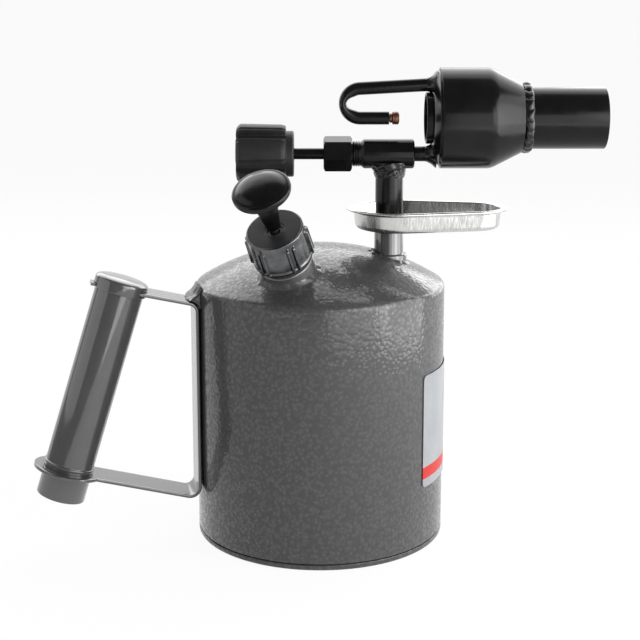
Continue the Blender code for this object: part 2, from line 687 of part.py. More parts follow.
def make_packing_nut(parent):
    """The long hexagon nut over the stuffing box, both ends chamfered."""
    corner = NUT_FLATS / 2 / math.cos(TURN / 12)
    right = NUT_LEFT + NUT_LENGTH
    thread = BODY_THREAD_RADIUS + FIT
    hole = SPINDLE_RADIUS + FIT
    top_inside = NUT_LEFT + NUT_TOP
    edge = NUT_FLATS / 2 - NUT_CHAMFER / 4
    profile = [(hole, NUT_LEFT), (edge, NUT_LEFT), (corner + FIT, NUT_LEFT + NUT_CHAMFER)]
    profile += [(corner + FIT, right - NUT_CHAMFER), (edge, right), (thread, right)]
    profile += [(thread, top_inside), (hole, top_inside)]
    nut = turned("packing_nut", profile, LARGE_SIDES, heat_black(), parent)
    hexagon = [(corner * math.cos(angle), corner * math.sin(angle)) for angle in
               [NUT_TURN + TURN * (index + 1 / 2) / 6 for index in range(6)]]
    blank = prism("nut_blank", hexagon, NUT_LEFT - OVERRUN, right + OVERRUN, heat_black(), parent)
    combine(nut, blank, "INTERSECT")
    return nut


def knob_outline(outer, root):
    """The knob's lobed outline: arcs at the outer radius, with notches down to the root radius between."""
    points = []
    for lobe in range(KNOB_LOBES):
        middle = KNOB_TURN + TURN * lobe / KNOB_LOBES
        for share in (-1, -1 / 2, 0, 1 / 2, 1):
            angle = middle + share * KNOB_LOBE_SPAN / 2
            points.append((outer * math.cos(angle), outer * math.sin(angle)))
        gap = middle + TURN / KNOB_LOBES / 2
        for share in (-1, 0, 1):
            angle = gap + share * KNOB_NOTCH_SPAN / 2
            points.append((root * math.cos(angle), root * math.sin(angle)))
    return points


def make_knob(parent):
    """The moulded control knob with its spindle socket and a recess for the screw head."""
    root = KNOB_RADIUS - KNOB_NOTCH_DEPTH
    lobe_right = KNOB_LEFT + KNOB_LOBE_LENGTH
    narrow = KNOB_RADIUS - KNOB_DRAFT
    stations = [(KNOB_LEFT, KNOB_RADIUS - KNOB_EDGE, root - KNOB_EDGE / 4)]
    stations += [(KNOB_LEFT + KNOB_EDGE, KNOB_RADIUS, root)]
    stations += [(lobe_right - KNOB_EDGE, narrow, root), (lobe_right, narrow - KNOB_EDGE / 2, root)]
    stations += [(lobe_right + KNOB_HUB_CHAMFER, root, root)]
    stations += [(KNOB_RIGHT - KNOB_HUB_CHAMFER, root, root)]
    stations += [(KNOB_RIGHT, root - KNOB_HUB_CHAMFER, root - KNOB_HUB_CHAMFER)]
    rings = [[(x, y, station) for x, y in knob_outline(outer, inner)] for station, outer, inner in stations]
    knob = lofted("control_knob", rings, black_plastic(), parent)
    socket = SPINDLE_RADIUS + FIT
    shank = KNOB_SCREW_RADIUS + FIT
    head = KNOB_SCREW_HEAD_RADIUS + FIT
    head_seat = KNOB_LEFT + KNOB_SCREW_RECESS + KNOB_SCREW_HEAD_LENGTH + FIT
    profile = [(0, KNOB_RIGHT + OVERRUN), (socket, KNOB_RIGHT + OVERRUN), (socket, SPINDLE_LEFT - FIT)]
    profile += [(shank, SPINDLE_LEFT - FIT), (shank, head_seat), (head, head_seat)]
    profile += [(head, KNOB_LEFT - OVERRUN), (0, KNOB_LEFT - OVERRUN)]
    combine(knob, turned("knob_bore", profile, SMALL_SIDES, black_plastic(), parent), "DIFFERENCE")
    return knob


def make_knob_screw(parent):
    """The screw that holds the knob on the spindle, its head sunk in the knob's outer face."""
    left = KNOB_LEFT + KNOB_SCREW_RECESS
    head_end = left + KNOB_SCREW_HEAD_LENGTH
    profile = [(0, left), (KNOB_SCREW_HEAD_RADIUS, left), (KNOB_SCREW_HEAD_RADIUS, head_end)]
    profile += [(KNOB_SCREW_RADIUS, head_end), (KNOB_SCREW_RADIUS, SPINDLE_LEFT + KNOB_SCREW_GRIP)]
    profile += [(0, SPINDLE_LEFT + KNOB_SCREW_GRIP)]
    return turned("knob_screw", profile, SMALL_SIDES, plain_steel(), parent)


def make_feed_tube(parent):
    """The short tube that feeds petrol from the valve into the vapour chamber."""
    left = BODY_RIGHT - FEED_SOCKET + FIT
    profile = tube_profile(FEED_RADIUS, FEED_RADIUS - FEED_WALL, left, SHELL_LEFT + FEED_ENTRY)
    return turned("feed_tube", profile, PIPE_SIDES, heat_black(), parent)


def make_burner_shell(parent):
    """The jacket: a drum that narrows in a cone towards the flame tube."""
    mouth = FLAME_RADIUS + FIT
    profile = [(SHELL_INNER, SHELL_LEFT), (SHELL_RADIUS, SHELL_LEFT), (SHELL_RADIUS, CONE_LEFT)]
    profile += [(mouth + CONE_LIP, CONE_RIGHT), (mouth, CONE_RIGHT), (SHELL_INNER, CONE_LEFT)]
    return turned("burner_shell", profile, LARGE_SIDES, heat_black(), parent)


def make_rear_plate(parent):
    """The dished ring that closes the vapour chamber at the back, flanged to fit inside the jacket."""
    flange_end = SHELL_LEFT + PLATE_FLANGE_LENGTH
    profile = [(CHAMBER_INNER, PLATE_LEFT), (PLATE_OUTER, SHELL_LEFT - FIT), (PLATE_OUTER, flange_end)]
    profile += [(CHAMBER_OUTER, flange_end), (CHAMBER_OUTER, SHELL_LEFT + PLATE_THICKNESS)]
    profile += [(CHAMBER_INNER, PLATE_LEFT + PLATE_THICKNESS)]
    return turned("rear_plate", profile, LARGE_SIDES, heat_black(), parent)


def make_mixing_tube(parent):
    """The inner tube that draws air in behind the nozzle, belled at the front to fit the flame tube."""
    bell = FLAME_RADIUS - FLAME_WALL - FIT
    bell_start = FLAME_LEFT + FIT
    taper_start = bell_start - MIXER_BELL_TAPER
    bell_end = bell_start + MIXER_BELL_LENGTH
    outer = [(MIXER_RADIUS, MIXER_LEFT), (MIXER_RADIUS, taper_start), (bell, bell_start), (bell, bell_end)]
    inner = [(radius - MIXER_WALL, station) for radius, station in outer[::-1]]
    return turned("mixing_tube", outer + inner, LARGE_SIDES, heat_black(), parent)


def make_flame_tube(parent):
    """The open front tube."""
    profile = tube_profile(FLAME_RADIUS, FLAME_RADIUS - FLAME_WALL, FLAME_LEFT, FLAME_RIGHT)
    return turned("flame_tube", profile, LARGE_SIDES, heat_black(), parent)


def make_burner_bead(parent):
    """The rough weld bead between cone and flame tube: a ring whose section swells and wanders."""
    rings = []
    for index in range(BEAD_STEPS):
        angle = TURN * index / BEAD_STEPS
        ripple = sum(share * math.sin(count * angle + start) for count, start, share in BEAD_WAVES)
        swell = 1 + BEAD_RIPPLE_SHARE * ripple
        ring = []
        for corner in range(BEAD_SECTION_STEPS):
            turn = TURN * corner / BEAD_SECTION_STEPS
            rise = BEAD_HEIGHT / 2 * (1 + math.cos(turn)) * swell
            run = BEAD_WIDTH / 2 * (1 + math.sin(turn) * swell / (1 + BEAD_RIPPLE_SHARE))
            reach = FLAME_RADIUS + FIT + rise
            ring.append((reach * math.cos(angle), reach * math.sin(angle), CONE_RIGHT + FIT + run))
        rings.append(ring)
    return lofted("burner_weld", rings, heat_black(), parent, joined=True)


def pipe_stations():
    """Centre (rise, run), heading and share of bend of the vapour pipe, in the burner's frame."""
    high = 2 * PIPE_BEND_RADIUS + PIPE_DROP
    bend = PIPE_BEND_STATION
    entry = SHELL_LEFT + PIPE_ENTRY
    slope = math.atan2(PIPE_DROP, entry - bend)
    stations = [((high, entry), slope, 0), ((high - PIPE_DROP / 4, (3 * entry + bend) / 4), slope, 0)]
    for index in range(PIPE_BEND_STEPS + 1):
        turn = math.pi * index / PIPE_BEND_STEPS
        stations.append(((PIPE_BEND_RADIUS, bend), turn, math.sin(turn)))
    stations.append(((0, bend + PIPE_LOWER_LEG), math.pi, 0))
    return stations


def pipe_ring(station, radius, pinch_share):
    """One ring of the vapour pipe: an oval that is pinched against the outer side of the bend."""
    (rise, run), turn, bent = station
    half = radius * (1 - pinch_share * bent)
    spread = radius * (1 + PIPE_SPREAD_SHARE * bent)
    up = math.cos(turn)
    back = math.sin(turn)
    if bent or run == PIPE_BEND_STATION:
        reach = PIPE_BEND_RADIUS + PIPE_RADIUS - PIPE_RADIUS * (1 - PIPE_PINCH_SHARE * bent)
        rise += reach * up
        run -= reach * back
    ring = []
    for index in range(SMALL_SIDES):
        angle = TURN * index / SMALL_SIDES
        lift = half * math.cos(angle)
        ring.append((spread * math.sin(angle), -(rise + lift * up), run - lift * back))
    return ring


def make_vapour_pipe(parent):
    """The bent pipe from the vapour chamber back to the nozzle, hollow from end to end."""
    stations = pipe_stations()
    outer = [pipe_ring(station, PIPE_RADIUS, PIPE_PINCH_SHARE) for station in stations]
    inner = [pipe_ring(station, PIPE_BORE_RADIUS, PIPE_BORE_PINCH_SHARE) for station in stations[::-1]]
    return lofted("vapour_pipe", outer + inner, heat_black(), parent, joined=True)


def make_nozzle(parent):
    """The brass nozzle in the end of the vapour pipe, drilled through with a fine jet."""
    left = PIPE_BEND_STATION + PIPE_LOWER_LEG
    spigot = PIPE_BORE_RADIUS - FIT
    neck_start = left + FIT
    head_start = neck_start + NOZZLE_NECK_LENGTH
    head_end = head_start + NOZZLE_HEAD_LENGTH
    profile = [(JET_RADIUS, left - NOZZLE_SPIGOT_LENGTH), (spigot, left - NOZZLE_SPIGOT_LENGTH)]
    profile += [(spigot, neck_start)]
    profile += [(NOZZLE_NECK_RADIUS, neck_start), (NOZZLE_NECK_RADIUS, head_start), (PIPE_RADIUS, head_start)]
    profile += [(PIPE_RADIUS, head_end - NOZZLE_CHAMFER), (PIPE_RADIUS - NOZZLE_CHAMFER, head_end)]
    profile += [(JET_RADIUS, head_end)]
    return turned("nozzle", profile, SMALL_SIDES, brass(), parent)


def make_filler_neck(parent, dome):
    """The threaded neck: a tube through the dome, with a flange cut to the dome's curve."""
    flange = [(0, -OVERRUN), (NECK_FLANGE_RADIUS, -OVERRUN), (NECK_FLANGE_RADIUS, NECK_FLANGE_RISE / 3)]
    flange += [(NECK_RADIUS + FIT, NECK_FLANGE_RISE), (0, NECK_FLANGE_RISE)]
    neck = turned("filler_neck", flange, LARGE_SIDES, smooth_grey(), parent)
    combine(neck, dome, "DIFFERENCE")
    barrel = rod_profile(NECK_RADIUS, -NECK_SPIGOT, NECK_LENGTH)
    combine(neck, turned("neck_tube", barrel, LARGE_SIDES, smooth_grey(), parent), "UNION")
    bore = rod_profile(NECK_BORE_RADIUS, -NECK_SPIGOT - OVERRUN, NECK_LENGTH + OVERRUN)
    combine(neck, turned("neck_bore", bore, LARGE_SIDES, smooth_grey(), parent), "DIFFERENCE")
    return neck


def make_dome_guide(parent):
    """A solid ball just above the dome's face, which the neck's flange is cut with."""
    radius, centre = dome_sphere()
    ball = arc((0, centre), radius + FIT, math.pi / 2, 0, 3 * DOME_STEPS)
    profile = [(0, ball[0][1])] + ball[1:] + [(0, centre)]
    guide = turned("dome_guide", profile, TANK_SIDES, hammer_grey(), parent)
    guide.hide_render = True
    guide.display_type = "WIRE"
    return guide


def make_gasket(parent):
    """The rubber ring between the neck and the barrel's flange."""
    profile = tube_profile(GASKET_RADIUS, BARREL_RADIUS + FIT, GASKET_BASE, GASKET_BASE + GASKET_THICKNESS)
    return turned("neck_gasket", profile, MEDIUM_SIDES, black_rubber(), parent)


def make_barrel(parent):
    """The pump barrel, hung from its flange on the filler neck."""
    bore = BARREL_BORE_RADIUS
    profile = [(bore, BARREL_BASE), (BARREL_RADIUS, BARREL_BASE), (BARREL_RADIUS, FLANGE_BASE)]
    profile += [(NECK_RADIUS, FLANGE_BASE), (NECK_RADIUS, FLANGE_TOP), (bore, FLANGE_TOP)]
    return turned("pump_barrel", profile, MEDIUM_SIDES, brass(), parent)


def make_check_valve(parent):
    """The plug in the barrel's foot with its drilled nipple."""
    plug = BARREL_BORE_RADIUS - FIT
    flange_top = BARREL_BASE - FIT
    flange_low = flange_top - PLUG_FLANGE
    tip = flange_low - NIPPLE_LENGTH
    bore = NIPPLE_BORE_RADIUS
    profile = [(0, tip + NIPPLE_RADIUS), (bore, tip + NIPPLE_RADIUS), (bore, PLUG_TOP), (plug, PLUG_TOP)]
    profile += [(plug, flange_top), (BARREL_RADIUS, flange_top), (BARREL_RADIUS, flange_low)]
    profile += [(NIPPLE_RADIUS, flange_low), (NIPPLE_RADIUS, tip), (0, tip)]
    body = turned("check_valve_body", profile, PIPE_SIDES, brass(), parent)
    port_frame = frame("port_frame", (0, 0, tip + 2 * NIPPLE_RADIUS), (1, 0, 0), (0, 1, 0), parent)
    port = rod_profile(NIPPLE_PORT_RADIUS, 0, NIPPLE_RADIUS + OVERRUN)
    combine(body, turned("nipple_port", port, SMALL_SIDES, brass(), port_frame), "DIFFERENCE")
    return body


def make_check_sleeve(parent):
    """The rubber sleeve that closes the nipple's port until the pump blows past it."""
    high = BARREL_BASE - FIT - PLUG_FLANGE - FIT
    inner = NIPPLE_RADIUS + FIT
    profile = tube_profile(inner + SLEEVE_WALL, inner, high - SLEEVE_LENGTH, high)
    return turned("check_valve_sleeve", profile, PIPE_SIDES, black_rubber(), parent)


def make_pump_rod(parent):
    """The plunger rod, its lower end turned down for the cup and nut."""
    low = CUP_BASE + CUP_WALL - FIT - CUP_NUT_HEIGHT
    profile = [(0, low), (ROD_THREAD_RADIUS, low), (ROD_THREAD_RADIUS, ROD_SHOULDER)]
    profile += [(ROD_RADIUS, ROD_SHOULDER)]
    profile += [(ROD_RADIUS, PUMP_KNOB_BASE + ROD_INSERT), (0, PUMP_KNOB_BASE + ROD_INSERT)]
    return turned("pump_rod", profile, SMALL_SIDES, plain_steel(), parent)


def make_pump_cup(parent):
    """The leather cup, its lip turned down towards the pressure side."""
    hole = ROD_THREAD_RADIUS + FIT
    web = CUP_BASE + CUP_HEIGHT - CUP_WALL
    profile = [(hole, web), (CUP_RADIUS - CUP_WALL, web), (CUP_RADIUS - CUP_WALL, CUP_BASE)]
    profile += [(CUP_RADIUS, CUP_BASE), (CUP_RADIUS, CUP_TOP), (hole, CUP_TOP)]
    return turned("pump_cup", profile, PIPE_SIDES, leather(), parent)


def make_cup_washer(parent):
    """The backing washer between the cup and the rod's shoulder."""
    low = CUP_TOP + FIT
    profile = tube_profile(CUP_WASHER_RADIUS, ROD_THREAD_RADIUS + FIT, low, low + CUP_WASHER_THICKNESS)
    return turned("cup_washer", profile, PIPE_SIDES, brass(), parent)


def make_cup_nut(parent):
    """The nut that clamps the cup, inside its lip."""
    high = CUP_BASE + CUP_HEIGHT - CUP_WALL - FIT
    profile = tube_profile(CUP_NUT_RADIUS, ROD_THREAD_RADIUS + FIT, high - CUP_NUT_HEIGHT, high)
    return turned("cup_nut", profile, NUT_SIDES, plain_steel(), parent)


def make_pump_cap(parent):
    """The ribbed ring nut: it screws on the neck and holds down the barrel's flange."""
    bore = NECK_RADIUS + FIT
    pocket = CAP_RADIUS - CAP_RIM
    rod_hole = ROD_RADIUS + FIT
    profile = [(rod_hole, WEB_BASE), (bore, WEB_BASE), (bore, CAP_BASE), (CAP_SKIRT_RADIUS, CAP_BASE)]
    profile += [(CAP_RADIUS, CAP_TOP - CAP_TOP_ROUND), (CAP_RADIUS - CAP_RIM / 2, CAP_TOP), (pocket, CAP_TOP)]
    profile += [(pocket, WEB_TOP), (rod_hole, WEB_TOP)]
    cap = turned("pump_cap", profile, LARGE_SIDES, zinc_casting(), parent)
    low = CAP_BASE + CAP_RIB_TAIL
    high = CAP_TOP - CAP_RIB_DROP
    inner = (bore + CAP_RADIUS) / 2
    for rib in range(CAP_RIBS):
        for side in (-1, 1):
            name = f"cap_rib_{rib}_{'left' if side < 0 else 'right'}"
            shift = side * (CAP_RIB_PAIR_GAP + CAP_RIB_WIDTH) / 2
            combine(cap, make_cap_rib(name, rib, shift, inner, low, high, parent), "UNION")
    return cap


def make_cap_rib(name, rib, shift, inner, low, high, parent):
    """One grip ridge of the ring nut, its top edge sloped."""
    turn = CAP_RIB_TURN + TURN * rib / CAP_RIBS
    outer = CAP_SKIRT_RADIUS + CAP_RIB_HEIGHT
    half = CAP_RIB_WIDTH / 2
    rings = []
    for height, reach in ((low, outer), (high - 2 * half, outer - half / 2), (high, CAP_RADIUS - FIT)):
        corners = [(inner, -half), (reach - half, -half), (reach, -half / 2)]
        corners += [(x, -y) for x, y in corners[::-1]]
        spot = [Matrix.Rotation(turn, 2) @ Vector((x, y + shift)) for x, y in corners]
        rings.append([(point.x, point.y, height) for point in spot])
    return lofted(name, rings, zinc_casting(), parent)


def make_cap_disc(parent):
    """The dark disc set in the top of the ring nut."""
    radius = CAP_RADIUS - CAP_RIM - FIT
    profile = tube_profile(radius, ROD_HOLE_RADIUS, DISC_BASE, DISC_BASE + DISC_THICKNESS)
    return turned("cap_disc", profile, LARGE_SIDES, heat_black(), parent)


def make_pump_knob(parent):
    """The mushroom knob: domed top, thin rim, conical stem with a socket for the rod."""
    rim_top = PUMP_KNOB_PLATE + PUMP_KNOB_RIM
    socket = ROD_RADIUS + FIT
    socket_end = PUMP_KNOB_BASE + ROD_INSERT + FIT
    dome = [(PUMP_KNOB_RADIUS * math.cos(math.pi / 2 * index / PUMP_KNOB_DOME_STEPS),
             rim_top + PUMP_KNOB_DOME * math.sin(math.pi / 2 * index / PUMP_KNOB_DOME_STEPS))
            for index in range(PUMP_KNOB_DOME_STEPS)]
    profile = [(0, socket_end), (socket, socket_end), (socket, PUMP_KNOB_BASE)]
    profile += [(PUMP_KNOB_STEM_LOW_RADIUS, PUMP_KNOB_BASE), (PUMP_KNOB_STEM_TOP_RADIUS, PUMP_KNOB_PLATE)]
    profile += [(PUMP_KNOB_RADIUS - PUMP_KNOB_RIM / 2, PUMP_KNOB_PLATE)]
    profile += [(PUMP_KNOB_RADIUS, PUMP_KNOB_PLATE + PUMP_KNOB_RIM / 2)]
    profile += dome + [(0, rim_top + PUMP_KNOB_DOME)]
    return turned("pump_knob", profile, LARGE_SIDES, black_plastic(), parent)


def rounded_path(points, radius, steps):
    """A polyline in a plane whose inner corners are arcs of one radius."""
    path = [points[0]]
    for before, corner, after in zip(points, points[1:], points[2:]):
        back = (before - corner).normalized()
        on = (after - corner).normalized()
        half = back.angle(on) / 2
        setback = radius / math.tan(half)
        middle = corner + (back + on).normalized() * radius / math.sin(half)
        start = (corner + back * setback - middle).normalized()
        end = (corner + on * setback - middle).normalized()
        path += [middle + start.slerp(end, index / steps) * radius for index in range(steps + 1)]
    return path + [points[-1]]


def make_handle_strap(parent):
    """One bent strap: tail through the grip, arm, web along the tank, lower arm, ring round the grip."""
    tail = STRAP_SLOT + ARM_OUT * (GRIP_CAP_RADIUS + STRAP_TAIL)
    step = STRAP_SLOT + ARM_OUT * STRAP_STEP_REACH
    high_corner = STRAP_SLOT - ARM_OUT * (STRAP_SLOT.x - STRAP_LINE) / ARM_OUT.x
    low_corner = Vector((STRAP_LINE, 0, STRAP_LOW_CORNER))
    ring = GRIP_TOP + GRIP_DOWN * STRAP_RING_DROP
    outward = (ring - low_corner).normalized()
    half = STRAP_WIDTH / 2
    neck = math.sqrt(STRAP_RING_RADIUS ** 2 - half ** 2)
    joint = ring - outward * neck
    shoulder = step - ARM_OUT * FIT
    bar = rounded_path([shoulder, high_corner, low_corner, joint], STRAP_BEND, STRAP_BEND_STEPS)
    path = [tail, step] + bar
    widths = [STRAP_TAIL_WIDTH / 2] * 2 + [half] * (len(path) - 2)
    first = math.asin(half / STRAP_RING_RADIUS)
    for index in range(1, STRAP_RING_STEPS):
        angle = first + (math.pi - first) * index / STRAP_RING_STEPS
        path.append(ring - outward * STRAP_RING_RADIUS * math.cos(angle))
        widths.append(STRAP_RING_RADIUS * math.sin(angle))
    rings = []
    for index, (point, width) in enumerate(zip(path, widths)):
        before = path[max(index - 1, 0)]
        after = path[min(index + 1, len(path) - 1)]
        along = (after - before).normalized()
        rise = Vector((-along.z, 0, along.x)) * STRAP_THICKNESS / 2
        side = Vector((0, width, 0))
        rings.append([point + rise + side, point + rise - side, point - rise - side, point - rise + side])
    return lofted("handle_strap", rings, smooth_grey(), parent)


def make_strap_weld(parent):
    """The weld between the tank wall and the bend at the strap's top, on the side of the shoulder."""
    wall = TANK_RADIUS + FIT
    slope = math.tan(STRAP_ARM_RISE)
    foot = STRAP_SLOT.z - (STRAP_SLOT.x - wall) * slope + (STRAP_THICKNESS / 2 + FIT) / ARM_OUT.x
    outline = [(wall, foot), (wall + STRAP_WELD_WIDTH, foot + STRAP_WELD_WIDTH * slope)]
    outline += [(wall + STRAP_WELD_WIDTH / 3, foot + STRAP_WELD_HEIGHT / 2), (wall, foot + STRAP_WELD_HEIGHT)]
    half = STRAP_WIDTH / 2
    rings = [[(x, side, z) for x, z in outline] for side in (-half, half)]
    return lofted("strap_weld", rings, hammer_grey(), parent)


def make_grip_tube(parent):
    """The tube grip with a raised bead that sits on the strap's ring, slotted near its top for the strap."""
    bead_high = -(STRAP_RING_DROP - STRAP_THICKNESS / 2 - GRIP_BEAD_LIFT) + GRIP_BEAD_WIDTH
    bead_low = bead_high - GRIP_BEAD_WIDTH
    top = -(GRIP_CAP_TOP + FIT)
    inner = GRIP_RADIUS - GRIP_WALL
    bead = GRIP_RADIUS + GRIP_BEAD_RISE
    profile = [(inner, -GRIP_LENGTH), (GRIP_RADIUS, -GRIP_LENGTH), (GRIP_RADIUS, bead_low)]
    profile += [(bead, bead_low + GRIP_BEAD_WIDTH / 4), (bead, bead_high - GRIP_BEAD_WIDTH / 4)]
    profile += [(GRIP_RADIUS, bead_high), (GRIP_RADIUS, top), (inner, top)]
    return turned("grip_tube", profile, MEDIUM_SIDES, smooth_grey(), parent)


def make_grip_cap(parent):
    """The domed cap pressed over the top of the grip."""
    inner = GRIP_RADIUS + FIT
    profile = [(0, -GRIP_CAP_TOP), (inner, -GRIP_CAP_TOP), (inner, -GRIP_CAP_HEIGHT)]
    profile += [(GRIP_CAP_RADIUS, -GRIP_CAP_HEIGHT), (GRIP_CAP_RADIUS, -GRIP_CAP_DOME)]
    profile += [(GRIP_CAP_RADIUS - GRIP_CAP_DOME / 2, -GRIP_CAP_DOME / 2)]
    profile += [(GRIP_CAP_RADIUS * 2 / 3, -GRIP_CAP_DOME / 6), (0, 0)]
    return turned("grip_cap", profile, MEDIUM_SIDES, smooth_grey(), parent)


def make_strap_slot(parent):
    """The slot through the grip and its cap: wide where the arm enters, narrow where the tail comes out."""
    wide = STRAP_WIDTH / 2 + FIT
    narrow = STRAP_TAIL_WIDTH / 2 + FIT
    reach = GRIP_CAP_RADIUS + OVERRUN
    step = STRAP_STEP_REACH + FIT
    outline = [(-reach, -wide), (step, -wide), (step, -narrow), (reach, -narrow)]
    outline += [(reach, narrow), (step, narrow), (step, wide), (-reach, wide)]
    rise = STRAP_THICKNESS / 2 + FIT
    return prism("strap_slot", outline, -rise, rise, smooth_grey(), parent)


def make_label(parent):
    """The plain sticker, wrapped on the right of the tank wall."""
    inner = TANK_RADIUS + FIT
    rings = []
    for index in range(LABEL_STEPS + 1):
        angle = LABEL_HALF_SPAN * (2 * index / LABEL_STEPS - 1)
        corners = ((inner, LABEL_LOW), (inner + LABEL_THICKNESS, LABEL_LOW))
        corners += ((inner + LABEL_THICKNESS, LABEL_LOW + LABEL_HEIGHT), (inner, LABEL_LOW + LABEL_HEIGHT))
        ring = [(reach * math.cos(angle), reach * math.sin(angle), height) for reach, height in corners]
        rings.append(ring)
    return lofted("side_label", rings, sticker(), parent)


def build_tank():
    """Tank, base, outlet, tray and riser, round the vertical axes."""
    axis = frame("tank_axis", (0, 0, 0), (0, 0, 1), (1, 0, 0))
    riser_axis = frame("riser_axis", (RISER_REACH, 0, 0), (0, 0, 1), (1, 0, 0))
    tank = make_tank(axis)
    make_base(axis)
    make_label(axis)
    outlet_hole = rod_profile(BUNG_RADIUS + FIT, BUNG_TOP - BUNG_DEPTH - OVERRUN, BUNG_TOP + OVERRUN)
    combine(tank, turned("outlet_hole", outlet_hole, MEDIUM_SIDES, hammer_grey(), riser_axis), "DIFFERENCE")
    make_outlet(riser_axis)
    make_tray_washer(riser_axis)
    tray = make_tray(riser_axis)
    spigot_hole = rod_profile(RISER_SPIGOT_RADIUS + FIT, TRAY_FLOOR - OVERRUN, TRAY_FLOOR + OVERRUN)
    combine(tray, turned("spigot_hole", spigot_hole, PIPE_SIDES, bright_plate(), riser_axis), "DIFFERENCE")
    make_pickup_tube(riser_axis)
    make_wick(riser_axis)
    riser = make_riser(riser_axis)
    weld = make_riser_weld(riser_axis)
    return tank, riser, weld, riser_axis, axis


def build_valve(riser, weld, riser_axis):
    """Valve body, spindle, packing and knob, round the valve's axis."""
    axis = frame("valve_axis", (0, 0, VALVE_HEIGHT), (1, 0, 0), (0, -1, 0))
    body = make_valve_body(axis)
    saddle = rod_profile(BODY_RADIUS + FIT, BODY_LEFT, BODY_RIGHT + OVERRUN)
    seat = turned("body_saddle", saddle, MEDIUM_SIDES, heat_black(), axis)
    combine(riser, seat, "DIFFERENCE")
    combine(weld, seat, "DIFFERENCE")
    inlet = rod_profile(RISER_BORE_RADIUS, VALVE_HEIGHT - BODY_RADIUS - OVERRUN, VALVE_HEIGHT)
    combine(body, turned("valve_inlet", inlet, PIPE_SIDES, heat_black(), riser_axis), "DIFFERENCE")
    make_spindle(axis)
    make_packing(axis)
    make_follower(axis)
    make_packing_nut(axis)
    make_knob(axis)
    make_knob_screw(axis)
    make_feed_tube(axis)
    return axis


def build_burner(valve_axis):
    """Jacket, rear plate, tubes, vapour pipe and nozzle, round the burner's axis."""
    axis = frame("burner_axis", (0, 0, BURNER_HEIGHT), (1, 0, 0), (0, -1, 0))
    make_burner_shell(axis)
    plate = make_rear_plate(axis)
    feed_hole = rod_profile(FEED_RADIUS + FIT, PLATE_LEFT - OVERRUN, SHELL_LEFT + OVERRUN)
    combine(plate, turned("feed_hole", feed_hole, PIPE_SIDES, heat_black(), valve_axis), "DIFFERENCE")
    pipe_line = Vector((0, -PIPE_DROP, PIPE_BEND_REACH + PIPE_ENTRY))
    pipe_foot = (0, -2 * PIPE_BEND_RADIUS, PIPE_BEND_STATION)
    hole_axis = frame("pipe_hole_axis", pipe_foot, pipe_line, (1, 0, 0), axis)
    reach = PIPE_BEND_REACH + PIPE_ENTRY
    pipe_hole = rod_profile(PIPE_RADIUS + FIT, reach / 2, reach + OVERRUN)
    combine(plate, turned("pipe_hole", pipe_hole, PIPE_SIDES, heat_black(), hole_axis), "DIFFERENCE")
    make_mixing_tube(axis)
    make_flame_tube(axis)
    make_burner_bead(axis)
    make_vapour_pipe(axis)
    make_nozzle(axis)


def build_pump(tank, tank_axis):
    """Filler neck and hand pump, round the pump's leaning axis."""
    reach = Vector((math.cos(PUMP_AZIMUTH), math.sin(PUMP_AZIMUTH), 0))
    place = reach * PUMP_REACH + Vector((0, 0, dome_height(PUMP_REACH)))
    lean = reach * math.sin(PUMP_TILT) + Vector((0, 0, math.cos(PUMP_TILT)))
    axis = frame("pump_axis", place, lean, reach)
    hole = rod_profile(NECK_RADIUS + FIT, -NECK_SPIGOT - OVERRUN, NECK_LENGTH)
    combine(tank, turned("neck_hole", hole, LARGE_SIDES, hammer_grey(), axis), "DIFFERENCE")
    make_filler_neck(axis, make_dome_guide(tank_axis))
    make_gasket(axis)
    make_barrel(axis)
    make_check_valve(axis)
    make_check_sleeve(axis)
    make_pump_rod(axis)
    make_pump_cup(axis)
    make_cup_washer(axis)
    make_cup_nut(axis)
    make_pump_cap(axis)
    make_cap_disc(axis)
    make_pump_knob(axis)


def build_handle():
    """Strap and grip, in the handle's upright plane."""
    outward = (math.cos(HANDLE_AZIMUTH), math.sin(HANDLE_AZIMUTH), 0)
    plane = frame("handle_plane", (0, 0, 0), (0, 0, 1), outward)
    axis = frame("grip_axis", GRIP_TOP, -GRIP_DOWN, GRIP_OUT, plane)
    strap = make_handle_strap(plane)
    ring_hole = rod_profile(GRIP_RADIUS + FIT, -STRAP_RING_DROP - OVERRUN, -STRAP_RING_DROP + OVERRUN)
    combine(strap, turned("ring_hole", ring_hole, MEDIUM_SIDES, smooth_grey(), axis), "DIFFERENCE")
    make_strap_weld(plane)
    slot = make_strap_slot(frame("arm_axis", STRAP_SLOT, ARM_UP, ARM_OUT, plane))
    combine(make_grip_tube(axis), slot, "DIFFERENCE")
    combine(make_grip_cap(axis), slot, "DIFFERENCE")


def main():
    clear_scene()
    tank, riser, weld, riser_axis, tank_axis = build_tank()
    valve_axis = build_valve(riser, weld, riser_axis)
    build_burner(valve_axis)
    build_pump(tank, tank_axis)
    build_handle()


main()
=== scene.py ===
"""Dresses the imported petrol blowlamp: finer surfaces, real finishes, studio light and the camera.

Every new surface is worked out with numpy on a grid of points. Sizes are in millimetres, and points become
metres where a mesh is made. Only the lights and the camera are placed in metres.
"""

import math

